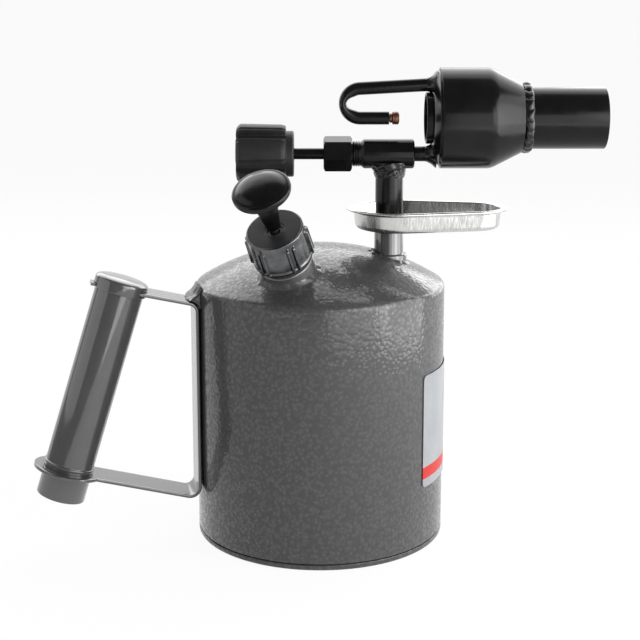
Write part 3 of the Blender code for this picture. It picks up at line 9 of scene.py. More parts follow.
import bmesh
import bpy
import numpy as np
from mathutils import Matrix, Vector


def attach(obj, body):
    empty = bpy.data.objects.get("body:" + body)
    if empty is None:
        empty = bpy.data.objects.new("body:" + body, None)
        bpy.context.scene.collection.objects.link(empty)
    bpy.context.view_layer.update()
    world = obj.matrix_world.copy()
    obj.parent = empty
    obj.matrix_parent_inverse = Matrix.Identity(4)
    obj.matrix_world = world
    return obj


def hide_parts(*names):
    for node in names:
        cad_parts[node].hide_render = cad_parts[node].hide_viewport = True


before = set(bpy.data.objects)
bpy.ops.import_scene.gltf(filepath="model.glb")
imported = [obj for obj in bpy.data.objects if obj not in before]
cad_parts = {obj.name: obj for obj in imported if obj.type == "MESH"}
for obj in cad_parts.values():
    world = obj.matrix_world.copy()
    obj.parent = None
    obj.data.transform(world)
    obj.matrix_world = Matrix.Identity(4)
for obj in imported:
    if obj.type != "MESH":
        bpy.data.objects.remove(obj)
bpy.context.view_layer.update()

MM = 0.001
TURN = 2 * math.pi
DEGREE = math.pi / 180
MERGE_DISTANCE = 0.0002
FULL_SIDES = 128
PIPE_SIDES = 64
SMALL_SIDES = 48
TANK_SIDES = 192
ROUND_STEPS = 5
# Edges sharper than this many degrees stay hard on most pieces
CREASE = 38
# A rounding takes up this share of a side at most
LONGEST_ROUND = 0.45

# Tank, the red band on its label, and what stands on its dome
TANK_RADIUS = 65.0
TANK_WALL = 1.0
SHOULDER_HEIGHT = 133.8
DOME_RISE = 19.0
SHOULDER_ROUND = 4.0
DOME_RADIUS = (TANK_RADIUS ** 2 + DOME_RISE ** 2) / (2 * DOME_RISE)
DOME_CENTRE = SHOULDER_HEIGHT + DOME_RISE - DOME_RADIUS
BAND_LOW = 38.6
BAND_HIGH = 44.8
RISER_REACH = 35.8
BUNG_TOP = 148.768
STUB_TOP = 160.368
TRAY_FLOOR = 162.368
RISER_FOOT = 163.368
VALVE_HEIGHT = 200.668
BURNER_HEIGHT = 219.018

# Stations along X of the valve and the burner
BODY_LEFT = 5.2
BODY_RIGHT = 48.4
NUT_LEFT = 1.8
NUT_RIGHT = 16.5
KNOB_LEFT = -42.9
KNOB_RIGHT = -13.4
SHELL_LEFT = 61.2
CONE_LEFT = 87.3
CONE_RIGHT = 103.3
FLAME_RIGHT = 145.6

# Feed pipe and vapour pipe. The vapour pipe's bend is centred on BEND_RUN
FEED_RADIUS = 3.9
PIPE_RADIUS = 3.35
PIPE_ENTRY = SHELL_LEFT + 6.0
BEND_RUN = SHELL_LEFT - 40.7
BEND_RADIUS = 7.55
BEND_DROP = 2.6
RETURN_RUN = 14.8

# Hand pump, round its leaning axis
PUMP_REACH = 39.8
PUMP_AZIMUTH = 247 * DEGREE
PUMP_TILT = 34.8 * DEGREE
NECK_TOP = 20.8
CAP_BASE = 11.2
CAP_TOP = 29.3
KNOB_PLATE = 53.1

# Handle, in an upright plane
HANDLE_AZIMUTH = 193 * DEGREE
GRIP_LEAN = 17.3 * DEGREE
ARM_RISE = 13.5 * DEGREE
GRIP_TOP = (102.2, 0.0, 140.9)
GRIP_CAP_RADIUS = 13.75
SLOT_DROP = 6.0
RING_DROP = 104.6


def axis_frame(origin, along, across, parent=None):
    """Origin and axes as columns: Z = along, Y = Z x across, X = Y x Z, all inside a parent frame if there
    is one."""
    z = np.array(along, float) / np.linalg.norm(along)
    y = np.cross(z, across)
    y /= np.linalg.norm(y)
    columns = np.column_stack((np.cross(y, z), y, z))
    if parent is None:
        return np.array(origin, float), columns
    return parent[0] + parent[1] @ np.array(origin, float), parent[1] @ columns


def pump_frame():
    """The pump's axis leans outwards from a point on the dome."""
    reach = np.array((math.cos(PUMP_AZIMUTH), math.sin(PUMP_AZIMUTH), 0))
    foot = reach * PUMP_REACH
    foot[2] = DOME_CENTRE + math.sqrt(DOME_RADIUS ** 2 - PUMP_REACH ** 2)
    return axis_frame(foot, reach * math.sin(PUMP_TILT) + np.array((0, 0, math.cos(PUMP_TILT))), reach)


TANK_AXIS = axis_frame((0, 0, 0), (0, 0, 1), (1, 0, 0))
RISER_AXIS = axis_frame((RISER_REACH, 0, 0), (0, 0, 1), (1, 0, 0))
VALVE_AXIS = axis_frame((0, 0, VALVE_HEIGHT), (1, 0, 0), (0, -1, 0))
BURNER_AXIS = axis_frame((0, 0, BURNER_HEIGHT), (1, 0, 0), (0, -1, 0))
PUMP_AXIS = pump_frame()
HANDLE_PLANE = axis_frame((0, 0, 0), (0, 0, 1), (math.cos(HANDLE_AZIMUTH), math.sin(HANDLE_AZIMUTH), 0))
GRIP_AXIS = axis_frame(GRIP_TOP, (-math.sin(GRIP_LEAN), 0, math.cos(GRIP_LEAN)),
                       (math.cos(GRIP_LEAN), 0, math.sin(GRIP_LEAN)), HANDLE_PLANE)


# Finishes

def linear(code):
    """sRGB hex to linear red, green, blue and alpha."""
    parts = [int(code[place:place + 2], 16) / 255 for place in (0, 2, 4)]
    return (*[part / 12.92 if part <= 0.04045 else ((part + 0.055) / 1.055) ** 2.4 for part in parts], 1.0)


def add_node(tree, kind, inputs=None, **settings):
    """One shader node: settings are its properties, inputs are values or the sockets to link."""
    node = tree.nodes.new("ShaderNode" + kind)
    for name, value in settings.items():
        setattr(node, name, value)
    for name, value in (inputs or {}).items():
        if isinstance(value, bpy.types.NodeSocket):
            tree.links.new(value, node.inputs[name])
        else:
            node.inputs[name].default_value = value
    return node


def new_finish(name):
    """An empty material."""
    finish = bpy.data.materials.new(name)
    finish.use_nodes = True
    finish.node_tree.nodes.clear()
    return finish


def start_finish(name, *patterns):
    """A new material, and a noise for each pattern of (lump size in mm, detail, roughness). Its object
    coordinates are metres of the real thing."""
    finish = new_finish(name)
    place = add_node(finish.node_tree, "TexCoord").outputs["Object"]
    noises = []
    for size, detail, roughness in patterns:
        inputs = {"Vector": place, "Scale": 1 / (size * MM), "Detail": detail, "Roughness": roughness}
        noises.append(add_node(finish.node_tree, "TexNoise", inputs).outputs["Fac"])
    return finish, *noises


def end_finish(finish, dark, light, share, layers, marks=(), coat_relief=False, **inputs):
    """Join a material's shader. A pattern, the share, mixes two hex tones, and marks of (where, hex) lie
    over them. Layers of (pattern, depth in mm) are its relief, from the lowest up. The other inputs are
    named as the sockets are, with _ for a space. One that is (pattern, low, high) runs from low to high
    over the middle of the pattern's range, or over the two ends that follow."""
    tree = finish.node_tree
    inputs["share"] = share if isinstance(share, tuple) else (share, 0.0, 1.0)
    for name, value in inputs.items():
        if isinstance(value, tuple):
            pattern, low, high, *ends = value
            first, last = ends or (0.3, 0.7)
            span = {"Value": pattern, "From Min": first, "From Max": last, "To Min": low, "To Max": high}
            inputs[name] = add_node(tree, "MapRange", span).outputs["Result"]
    colour = linear(dark)
    for where, tone in [(inputs.pop("share"), light), *marks]:
        mix = {0: where, 6: colour, 7: linear(tone)}
        colour = add_node(tree, "Mix", mix, data_type="RGBA").outputs[2]
    under = {}
    for pattern, depth in layers:
        bump = {"Height": pattern, "Strength": 1.0, "Distance": depth * MM, **under}
        under = {"Normal": add_node(tree, "Bump", bump).outputs["Normal"]}
    sockets = {name.replace("_", " "): value for name, value in inputs.items()}
    if coat_relief:
        sockets["Coat Normal"] = under["Normal"]
    shader = add_node(tree, "BsdfPrincipled", {"Base Color": colour, **under, **sockets})
    add_node(tree, "OutputMaterial", {"Surface": shader.outputs["BSDF"]})
    return finish


def hammer_paint():
    """Hammertone paint, sprayed and stoved: shallow dimples about 2 mm apart, which break up the edge of
    every reflection into specks. The middle of each dimple is a little paler and glossier than its rim, so
    the grey is mottled. Slow waves under them bend the wider reflections."""
    finish, waves = start_finish("hammertone_paint", (3.4, 2.0, 0.5))
    tree = finish.node_tree
    place = add_node(tree, "TexCoord").outputs["Object"]
    cells = {"Vector": place, "Scale": 1 / (1.9 * MM), "Smoothness": 0.5, "Randomness": 1.0}
    dimples = add_node(tree, "TexVoronoi", cells, feature="SMOOTH_F1").outputs["Distance"]
    middle, rim = 0.15, 0.6
    layers = [(waves, 0.05), (dimples, 0.09)]
    return end_finish(finish, "3a3a3a", "414141", (dimples, 1.0, 0.0, middle, rim), layers, coat_relief=True,
                      Roughness=0.4, Specular_IOR_Level=0.2, Coat_Roughness=0.06,
                      Coat_Weight=(dimples, 1.0, 0.45, middle, rim))


def smooth_paint():
    """Grey enamel, sprayed over plain steel: a clear gloss over a faint orange peel 3 mm across."""
    finish, peel, cloud = start_finish("grey_enamel", (3.0, 1.5, 0.5), (18.0, 2.0, 0.5))
    return end_finish(finish, "3a3a3a", "404040", cloud, [(peel, 0.05)], Roughness=0.4,
                      Specular_IOR_Level=0.3, Coat_Weight=1.0, Coat_IOR=1.7, Coat_Roughness=(peel, 0.06, 0.1))


def heat_paint():
    """Black stove enamel over machined and welded steel: satin, with a slight grain from the spray gun."""
    finish, grain, cloud = start_finish("black_stove_enamel", (1.2, 2.0, 0.5), (9.0, 2.0, 0.5))
    return end_finish(finish, "0a0a0a", "0f0f0f", cloud, [(grain, 0.02)], Roughness=(cloud, 0.15, 0.23),
                      Specular_IOR_Level=0.22)


def weld_paint():
    """The same black enamel where it lies thick on a rough weld: glossier, with spatter grains under it."""
    finish, spatter = start_finish("enamel_on_weld", (0.9, 3.0, 0.65))
    return end_finish(finish, "050505", "0c0c0c", spatter, [(spatter, 0.12)], Roughness=0.16)


def moulded_plastic():
    """Black phenolic moulding: an even satin face with the faint texture of a blasted mould."""
    finish, sparks, cloud = start_finish("black_phenolic_satin", (0.6, 2.0, 0.5), (7.0, 2.0, 0.5))
    return end_finish(finish, "1a1a1a", "222222", cloud, [(sparks, 0.02)], Roughness=(sparks, 0.4, 0.5),
                      Specular_IOR_Level=0.3)


def polished_plastic():
    """Black phenolic from a polished mould: deep black with a clear soft highlight and a few faint rubs."""
    finish, rubs = start_finish("black_phenolic_gloss", (4.0, 4.0, 0.7))
    return end_finish(finish, "060606", "0b0b0b", rubs, [(rubs, 0.01)], Roughness=(rubs, 0.16, 0.24),
                      Specular_IOR_Level=0.25)


def bright_plate():
    """Bright zinc plate on pressed sheet: drawing marks run up and down the wall, with a soft wave in the
    sheet. The marks are drawn 0.7 mm wide, coarser than real ones, so that they show."""
    finish, wave = start_finish("bright_zinc_plate", (16.0, 1.0, 0.5))
    tree = finish.node_tree
    place = add_node(tree, "TexCoord").outputs["Object"]
    stretch = add_node(tree, "Mapping", {"Vector": place, "Scale": (1.0, 1.0, 0.08)}).outputs["Vector"]
    streaks = {"Vector": stretch, "Scale": 1 / (0.7 * MM), "Detail": 3.0, "Roughness": 0.6}
    marks = add_node(tree, "TexNoise", streaks).outputs["Fac"]
    return end_finish(finish, "bebebc", "dadad8", marks, [(wave, 0.35), (marks, 0.02)], Metallic=1.0,
                      Roughness=(marks, 0.17, 0.3))


def plated_casting():
    """Nickel-plated zinc die casting: bright, with a soft cast skin and duller patches where fingers wear
    it."""
    finish, skin, worn = start_finish("plated_zinc_casting", (1.4, 3.0, 0.5), (6.0, 3.0, 0.6))
    return end_finish(finish, "525354", "6f7071", worn, [(skin, 0.03)], Metallic=1.0,
                      Roughness=(worn, 0.15, 0.24))


def turned_brass(name, dark, light, roughness):
    """Turned brass: fine tool marks 0.3 mm apart, a little uneven where the metal has tarnished."""
    finish, tarnish, marks = start_finish(name, (5.0, 3.0, 0.5), (0.3, 1.0, 0.5))
    return end_finish(finish, dark, light, tarnish, [(marks, 0.01)], Metallic=1.0,
                      Roughness=(tarnish, roughness, roughness + 0.15))


def bright_steel():
    """Ground steel bar: cold grey, with grinding marks too fine to see but for the dull edge of its
    highlight."""
    finish, marks, cloud = start_finish("ground_steel", (0.4, 2.0, 0.5), (8.0, 2.0, 0.5))
    return end_finish(finish, "a2a3a5", "bcbdbf", cloud, [(marks, 0.008)], Metallic=1.0,
                      Roughness=(marks, 0.22, 0.32))


def dull_finish(name, dark, light, size, depth, roughness):
    """A soft or matt stuff, such as rubber, leather, cotton or graphite: two tones in lumps of one size."""
    finish, lumps = start_finish(name, (size, 3.0, 0.6))
    return end_finish(finish, dark, light, lumps, [(lumps, depth)], Roughness=roughness)


def sticker_film():
    """Coated label film: pale, half gloss, with a plain red band along its foot between two heights."""
    finish, cloud, grain = start_finish("coated_label_film", (12.0, 2.0, 0.5), (2.0, 2.0, 0.5))
    tree = finish.node_tree
    place = add_node(tree, "TexCoord").outputs["Object"]
    height = add_node(tree, "SeparateXYZ", {"Vector": place}).outputs["Z"]
    above = add_node(tree, "Math", {0: height, 1: BAND_LOW * MM}, operation="GREATER_THAN").outputs["Value"]
    below = add_node(tree, "Math", {0: height, 1: BAND_HIGH * MM}, operation="LESS_THAN").outputs["Value"]
    band = add_node(tree, "Math", {0: above, 1: below}, operation="MULTIPLY").outputs["Value"]
    return end_finish(finish, "7c7e80", "848688", cloud, [(grain, 0.01)], [(band, "a01810")], Roughness=0.38,
                      Specular_IOR_Level=0.35)


HAMMER = hammer_paint()
ENAMEL = smooth_paint()
BLACK = heat_paint()
WELD = weld_paint()
SATIN_PLASTIC = moulded_plastic()
GLOSS_PLASTIC = polished_plastic()
PLATE = bright_plate()
CASTING = plated_casting()
BRASS = turned_brass("turned_brass", "b08d57", "cda96d", 0.22)
JET_BRASS = turned_brass("tarnished_brass", "5e4136", "8c6552", 0.3)
STEEL = bright_steel()
RUBBER = dull_finish("nitrile_rubber", "161616", "202020", 1.5, 0.02, 0.7)
GRAPHITE = dull_finish("pressed_graphite", "2c2c2d", "3a3a3b", 0.8, 0.03, 0.6)
COTTON = dull_finish("twisted_cotton", "b8ad97", "e2dac6", 0.9, 0.2, 0.95)
LEATHER = dull_finish("oiled_leather", "5a3a20", "80562f", 1.1, 0.05, 0.6)
FILM = sticker_film()


# Surfaces

def grid_faces(rows, columns, rows_closed, columns_closed):
    """Quads between neighbours of a grid. A closed direction joins its last line to its first."""
    index = np.arange(rows * columns).reshape(rows, columns)
    down = np.roll(index, -1, axis=0)
    quads = np.stack((index, np.roll(index, -1, axis=1), np.roll(down, -1, axis=1), down), axis=-1)
    last_row = rows if rows_closed else rows - 1
    last_column = columns if columns_closed else columns - 1
    return quads[:last_row, :last_column].reshape(-1, 4)


def place_object(name, data):
    """An object for a mesh, a lamp or a camera, in the scene."""
    holder = bpy.data.objects.new(name, data)
    bpy.context.scene.collection.objects.link(holder)
    return holder


def make_surface(name, grid, axis, finish, rows_closed=True, crease=CREASE):
    """A mesh from a grid of local points P: world = origin + X Px + Y Py + Z Pz. Seams and poles are
    merged, faces turned outwards, and edges sharper than the crease angle stay hard."""
    rows, columns = grid.shape[:2]
    points = (axis[0] + grid.reshape(-1, 3) @ axis[1].T) * MM
    faces = grid_faces(rows, columns, rows_closed, True)
    mesh = bpy.data.meshes.new(name)
    mesh.from_pydata(points.tolist(), [], faces.tolist())
    shape = bmesh.new()
    shape.from_mesh(mesh)
    bmesh.ops.remove_doubles(shape, verts=shape.verts[:], dist=MERGE_DISTANCE * MM)
    bmesh.ops.recalc_face_normals(shape, faces=shape.faces[:])
    shape.to_mesh(mesh)
    shape.free()
    mesh.materials.append(finish)
    piece = place_object(name, mesh)
    soften(piece, crease)
    return piece


def soften(piece, crease):
    """Smooth shading, except over edges sharper than the crease angle in degrees."""
    piece.data.shade_smooth()
    piece.data.set_sharp_from_angle(angle=crease * DEGREE)


def dress(piece, body, slot_name, *nodes):
    """The piece rides on a body and stands for the CAD nodes named, which are hidden. The slot name is not
    used.
    """
    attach(piece, body)
    if nodes:
        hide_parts(*nodes)


def cut(piece, crease, *tools):
    """Take the tools' volumes out of a piece, keep the result as its mesh, and throw the tools away."""
    for tool in tools:
        change = piece.modifiers.new(tool.name, "BOOLEAN")
        change.operation = "DIFFERENCE"
        change.object = tool
        change.solver = "EXACT"
    bpy.context.view_layer.update()
    shaped = piece.evaluated_get(bpy.context.evaluated_depsgraph_get())
    mesh = bpy.data.meshes.new_from_object(shaped)
    finish = piece.data.materials[0]
    piece.modifiers.clear()
    piece.data = mesh
    mesh.materials.clear()
    mesh.materials.append(finish)
    mesh.polygons.foreach_set("material_index", np.zeros(len(mesh.polygons), np.int32))
    for tool in tools:
        bpy.data.objects.remove(tool)
    soften(piece, crease)
    return piece


def rounded(corners, ring):
    """A profile of corners, each its numbers and then its rounding. A rounded corner C becomes the curve
    (1-t)^2 A + 2t(1-t) C + t^2 B between points A and B that lie its rounding away along both sides."""
    points = np.array([corner[:-1] for corner in corners], float)
    share = np.linspace(0, 1, ROUND_STEPS + 1)[:, None]
    path = []
    for index, point in enumerate(points):
        rounding = corners[index][-1]
        inner = ring or 0 < index < len(corners) - 1
        if not rounding or not inner:
            path.append(point[None])
            continue
        before = points[index - 1] - point
        after = points[(index + 1) % len(points)] - point
        back = point + before * min(LONGEST_ROUND, rounding / np.linalg.norm(before))
        on = point + after * min(LONGEST_ROUND, rounding / np.linalg.norm(after))
        path.append((1 - share) ** 2 * back + 2 * share * (1 - share) * point + share ** 2 * on)
    return np.vstack(path)


def around(sides):
    """Equally spaced angles of one full turn."""
    return np.arange(sides) * TURN / sides


def polar(radius, angle, level):
    """(r cos a, r sin a, h) over one grid. A number or a single row or column counts for the whole grid."""
    radius, angle, level = np.broadcast_arrays(radius, angle, level)
    return np.stack((radius * np.cos(angle), radius * np.sin(angle), level), axis=-1)


def spun(name, corners, axis, finish, sides=FULL_SIDES):
    """A turned piece from (radius, station, rounding) corners. One that starts off the axis closes into a
    ring."""
    ring = corners[0][0] > 0
    profile = rounded(corners, ring)
    grid = polar(profile[:, :1], around(sides), profile[:, 1:])
    return make_surface(name, grid, axis, finish, rows_closed=ring)


def tube(outer, inner, low, high, rounding=0.2):
    """Corners of a plain tube with broken edges."""
    return [(inner, low, rounding), (outer, low, rounding), (outer, high, rounding), (inner, high, rounding)]


def bar(radius, low, high):
    """Corners of a plain bar, to cut a hole with."""
    return [(0, low, 0), (radius, low, 0), (radius, high, 0), (0, high, 0)]


def arc(centre, radius, start, end, steps):
    """(x, y) = centre + radius (cos, sin) from one angle to the other."""
    angle = np.linspace(start, end, steps + 1)
    return np.column_stack((centre[0] + radius * np.cos(angle), centre[1] + radius * np.sin(angle)))


def smooth_step(value):
    """3t^2 - 2t^3 for t, the value held between 0 and 1."""
    held = np.clip(value, 0, 1)
    return held * held * (3 - 2 * held)


def wander(angle, seed, waves=(3, 5, 8, 13)):
    """A smooth, repeatable unevenness between about -1 and 1 round a full turn: a sum of sines."""
    return sum(np.sin(count * angle + seed * (2.1 + order)) for order, count in enumerate(waves)) / len(waves)


# Tank

def dome_profile(inset):
    """The dome's arc, its rounded shoulder and the top of the wall, set in by a wall thickness."""
    round_reach = TANK_RADIUS - SHOULDER_ROUND
    round_height = DOME_CENTRE + math.sqrt((DOME_RADIUS - SHOULDER_ROUND) ** 2 - round_reach ** 2)
    tangent = math.atan2(round_height - DOME_CENTRE, round_reach)
    dome = arc((0, DOME_CENTRE), DOME_RADIUS - inset, math.pi / 2, tangent, 24)
    shoulder = arc((round_reach, round_height), SHOULDER_ROUND - inset, tangent, 0, 8)
    dome[0, 0] = 0
    return np.vstack((dome, shoulder[1:]))


def make_tank():
    """Drawn shell with the neck and outlet holes cut through its dome, and the pressed floor under it."""
    lip = np.array([(65.0, 4.3), (64.9, 3.8), (64.6, 3.4), (64.1, 3.3)])
    profile = np.vstack((dome_profile(0), lip, [(64.0, 4.3)], dome_profile(TANK_WALL)[::-1]))
    grid = polar(profile[:, :1], around(TANK_SIDES), profile[:, 1:])
    shell = make_surface("tank_shell", grid, TANK_AXIS, HAMMER, rows_closed=False)
    holes = [spun("neck_hole", bar(11.3, -14, 16), PUMP_AXIS, HAMMER, PIPE_SIDES),
             spun("bung_hole", bar(9.7, 136, 156), RISER_AXIS, HAMMER, PIPE_SIDES)]
    dress(cut(shell, 30, *holes), "lamp", "hammer_paint", "tank_body")
    floor = [(0, 0, 0), (40, 0, 1), (43, 2.5, 1), (57, 2.5, 1), (60, 0, 1), (65, 0, 2), (65, 3.0, 0.5),
             (63.7, 3.0, 0), (63.7, 8, 0.4), (62.5, 8, 0.4), (62.5, 1.2, 1), (60, 1.2, 1), (57, 3.7, 1),
             (43, 3.7, 1), (40, 1.2, 1), (0, 1.2, 0)]
    dress(spun("tank_floor", floor, TANK_AXIS, HAMMER, TANK_SIDES), "lamp", "hammer_paint", "tank_base")


def make_sticker():
    """Film wrapped on the wall. At height h and share s the angle is half span x s, and the radius is that of
    the inner or the outer face. Near the top and bottom the half span follows a quarter circle, so the
    corners are round."""
    low, high, span, corner, thickness, gap = 34.0, 93.0, 37 * DEGREE, 2.5, 0.3, 0.3
    edge = corner * (1 - np.cos(np.linspace(0, math.pi / 2, 7)))
    height = np.concatenate((low + edge, high - edge[::-1]))
    near_end = np.minimum(height - low, high - height)
    depth = np.clip((corner - near_end) / corner, 0, 1)
    half = span - corner * (1 - np.sqrt(1 - depth ** 2)) / TANK_RADIUS
    share = np.linspace(-1, 1, 49)
    angle = half[:, None] * np.concatenate((share, share[::-1]))
    side = np.concatenate((np.ones(49), np.zeros(49)))
    thick = np.where(near_end > 0, thickness, 0)[:, None]
    radius = TANK_RADIUS + gap + thickness / 2 + thick * (side - 0.5)
    grid = polar(radius, angle, height[:, None])
    sticker = make_surface("side_sticker", grid, TANK_AXIS, FILM, rows_closed=False)
    dress(sticker, "lamp", "label", "side_label")


def dome_foot(radius, angle, axis):
    """Where a line parallel to an axis, at a radius and angle round it, meets the dome. The point P + tZ lies
    on it for t = -b + sqrt(b^2 - c), where b = (P - C).Z and c = |P - C|^2 - R^2."""
    origin, columns = axis
    offset = origin + polar(radius, angle, 0.0) @ columns.T - np.array((0, 0, DOME_CENTRE))
    along = offset @ columns[:, 2]
    return -along + np.sqrt(along ** 2 - (offset ** 2).sum(axis=-1) + DOME_RADIUS ** 2)


def make_dome_fillet(name, axis, inner, outer, rise, seed, lumps):
    """The weld where a tube enters the dome: for angle a and share s from the outer toe to the tube,
    radius = outer + (inner - outer) s and height = dome + rise s^1.6, with beads that overlap every few
    millimetres and a slow wander in width. Its underside is the same grid a little lower."""
    thickness, sunk = 1.2, 0.15
    angle = around(240)[None]
    share = np.linspace(0, 1, 25)[:, None]
    phase = (angle * lumps / TURN + 0.5 * share) % 1
    bead = np.sqrt(1 - (2 * phase - 1) ** 2)
    ripple = (0.35 * bead + 0.5 * wander(angle, seed)) * np.sin(math.pi * share) ** 0.7
    toe = outer + 1.1 * wander(angle, seed + 1)
    radius = toe + (inner - toe) * share
    base = dome_foot(radius, angle, axis)
    top = base + rise * share ** 1.6 + ripple - sunk
    level = np.vstack((top, (base - thickness)[::-1]))
    grid = polar(np.vstack((radius, radius[::-1])), angle, level)
    dress(make_surface(name, grid, axis, HAMMER), "lamp", "hammer_paint")


def make_outlet():
    """Outlet stub on its bung, welded into the dome, and the black washer that seats the tray and also paints
    the dark band of shade under it.
    """
    low = 141.8
    stub = [(4.9, low, 0.2), (9.4, low, 0.4), (9.4, BUNG_TOP, 0.7), (7.55, BUNG_TOP, 0.5),
            (7.55, STUB_TOP, 0.4), (4.9, STUB_TOP, 0.2)]
    dress(spun("outlet_stub", stub, RISER_AXIS, ENAMEL, PIPE_SIDES), "lamp", "smooth_paint", "tank_outlet")
    make_dome_fillet("outlet_fillet", RISER_AXIS, 9.3, 11.6, 1.0, seed=2, lumps=17)
    # Black washer: a real seat for the tray, and also painted shade for the dark band of shadow under the
    # tray
    washer = tube(8.8, 4.9, STUB_TOP + 0.3, TRAY_FLOOR - 0.3, 0.3)
    dress(spun("tray_seat_and_shade", washer, RISER_AXIS, BLACK, PIPE_SIDES), "lamp", "heat_black", "tray_washer")


# Tray and riser

def egg_reach(angle_count):
    """The tray's outline: an arc round each of two centres, joined by the straight tangents. Gives centre
    shift, radius and angle for each point, so that the outline can be set in or out along its own
    normals."""
    large, small, shift_large, shift_small = 23.2, 16.0, 4.8, 42.0
    meet = math.acos((large - small) / (shift_small - shift_large))
    big = np.linspace(meet, TURN - meet, angle_count)
    little = np.linspace(-meet, meet, angle_count)
    shift = np.repeat((shift_large, shift_small), angle_count)
    radius = np.repeat((large, small), angle_count)
    return shift, radius, np.concatenate((big, little))


def make_tray():
    """Pressed pan: profile rows of (outset, height), carried round the egg outline. The lip pushes both
    ends of the flange out by lip x |cos a|^10, which gives the two pouring points."""
    shift, radius, angle = egg_reach(64)
    depth, sheet, lip, middle = 10.8, 0.7, 1.6, 22.0
    corners = [(-12, 0, 0), (-0.9, 0, 2.6), (-0.1, depth - 1.6, 0.8), (1.9, depth - 1.5, 0.5),
               (2.2, depth - 0.6, 0.5), (1.6, depth, 0.4), (-0.5, depth, 1.0), (-1.6, sheet, 2.2),
               (-12, sheet, 0)]
    profile = rounded(corners, False)
    spread = np.where(profile[:, :1] > 0.6, lip, 0.0)
    reach = radius + (profile[:, :1] + spread * np.abs(np.cos(angle)) ** 10)
    grid = polar(reach, angle, TRAY_FLOOR + profile[:, 1:])
    grid[..., 0] += shift
    ends = [np.broadcast_to((middle, 0.0, TRAY_FLOOR + rise), grid[:1].shape) for rise in (0, sheet)]
    pan = np.vstack((ends[0], grid, ends[1]))
    tray = make_surface("tray_pan", pan, RISER_AXIS, PLATE, rows_closed=False, crease=50)
    hole = spun("tray_hole", bar(4.9, TRAY_FLOOR - 3, TRAY_FLOOR + 3), RISER_AXIS, PLATE, SMALL_SIDES)
    dress(cut(tray, 50, hole), "lamp", "bright_plate", "preheat_tray")


def make_riser():
    """Riser tube and the coarse fillet round its top. The fillet's rings are ovals (a cos t, b sin t) whose
    long radius a runs along the valve and grows faster on the knob's side. Lumps of weld swell them, most
    of all half way up."""
    top = VALVE_HEIGHT - 5
    riser = [(3.4, 152.4, 0.2), (4.6, 152.4, 0.2), (4.6, RISER_FOOT, 0), (7.2, RISER_FOOT, 0.5),
             (7.2, top, 0), (3.4, top, 0)]
    dress(spun("riser", riser, RISER_AXIS, BLACK, PIPE_SIDES), "lamp", "heat_black", "riser_tube")
    angle = around(180)[None]
    share = np.linspace(0, 1, 30)[:, None]
    long_radius = 7.5 + (4.4 - 2.0 * np.cos(angle)) * share ** 3
    short_radius = 7.5 + 1.0 * share ** 2
    lumps = 0.5 * wander(angle + 0.5 * share, 4, (5, 9, 14))
    lumps = lumps + 0.35 * wander(angle - 2.1 * share, 9, (7, 11, 17))
    swell = (lumps + 0.5) * np.sin(math.pi * np.clip(share * 0.94 + 0.06, 0, 1)) ** 0.6
    level = VALVE_HEIGHT - 11.8 + 7.8 * share + 0.7 * wander(angle, 6) * (1 - share)
    across = (long_radius + swell) * np.cos(angle)
    grid = np.stack((across, (short_radius + swell) * np.sin(angle), level), axis=-1)
    inside = polar(6.9, angle, level)[::-1]
    fillet = make_surface("riser_fillet", np.vstack((grid, inside)), RISER_AXIS, WELD)
    dress(fillet, "lamp", "heat_black", "riser_weld")


# Valve

def make_valve():
    """Turned valve body with its thread left bare beside the nut, and the spindle."""
    thread, pitch, right = 17.0, 1.25, BODY_RIGHT
    body = [(4.6, BODY_LEFT, 0.2), (6.1, BODY_LEFT, 0.2), (6.1, thread, 0.1)]
    for ridge in range(3):
        start = thread + pitch * ridge
        body += [(6.6, start + 0.4, 0.15), (6.6, start + 0.65, 0.15), (6.1, start + 1.05, 0.15)]
    body += [(6.6, 21.4, 0.2), (7.55, 22.6, 0.3), (7.55, right - 0.7, 0.2), (6.85, right, 0.2),
             (4.2, right, 0.2), (4.2, right - 3, 0), (1.0, right - 3, 0), (1.0, 43.2, 0), (3.2, 41.0, 0),
             (3.2, 13.2, 0), (4.6, 13.2, 0)]
    dress(spun("tee_body", body, VALVE_AXIS, BLACK, PIPE_SIDES), "lamp", "heat_black", "valve_body")
    spindle = [(0, -26.1, 0), (1.8, -26.1, 0), (1.8, -33.4, 0.1), (2.9, -33.4, 0.3), (2.9, 40.85, 0),
               (0, 43.75, 0)]
    needle = spun("needle_spindle", spindle, VALVE_AXIS, BLACK, SMALL_SIDES)
    dress(needle, "needle", "heat_black", "valve_spindle")


def make_gland_nut():
    """Hexagon nut: radius = min(flat / cos of the angle off the nearest flat, the chamfer's curve) at each
    station, and a stepped bore."""
    flat, turn, chamfer, wall = 8.0, -17 * DEGREE, 1.5, 2.7
    angle = around(192) + turn + 30 * DEGREE
    off_flat = (angle - turn + 30 * DEGREE) % (60 * DEGREE) - 30 * DEGREE
    steps = np.linspace(0, chamfer, 9)
    curve = 7.75 + 1.75 * np.sin(steps / chamfer * math.pi / 2)
    limit = np.concatenate((curve, curve[::-1]))[:, None]
    outer = np.minimum(flat / np.cos(off_flat), limit)
    bore = np.array([(6.75, NUT_RIGHT), (6.75, NUT_LEFT + wall), (3.2, NUT_LEFT + wall), (3.2, NUT_LEFT)])
    radius = np.vstack((outer, np.repeat(bore[:, :1], len(angle), axis=1)))
    station = np.concatenate((NUT_LEFT + steps, NUT_RIGHT - steps[::-1], bore[:, 1]))
    grid = polar(radius, angle, station[:, None])
    nut = make_surface("gland_nut", grid, VALVE_AXIS, BLACK, crease=25)
    dress(nut, "lamp", "heat_black", "packing_nut")


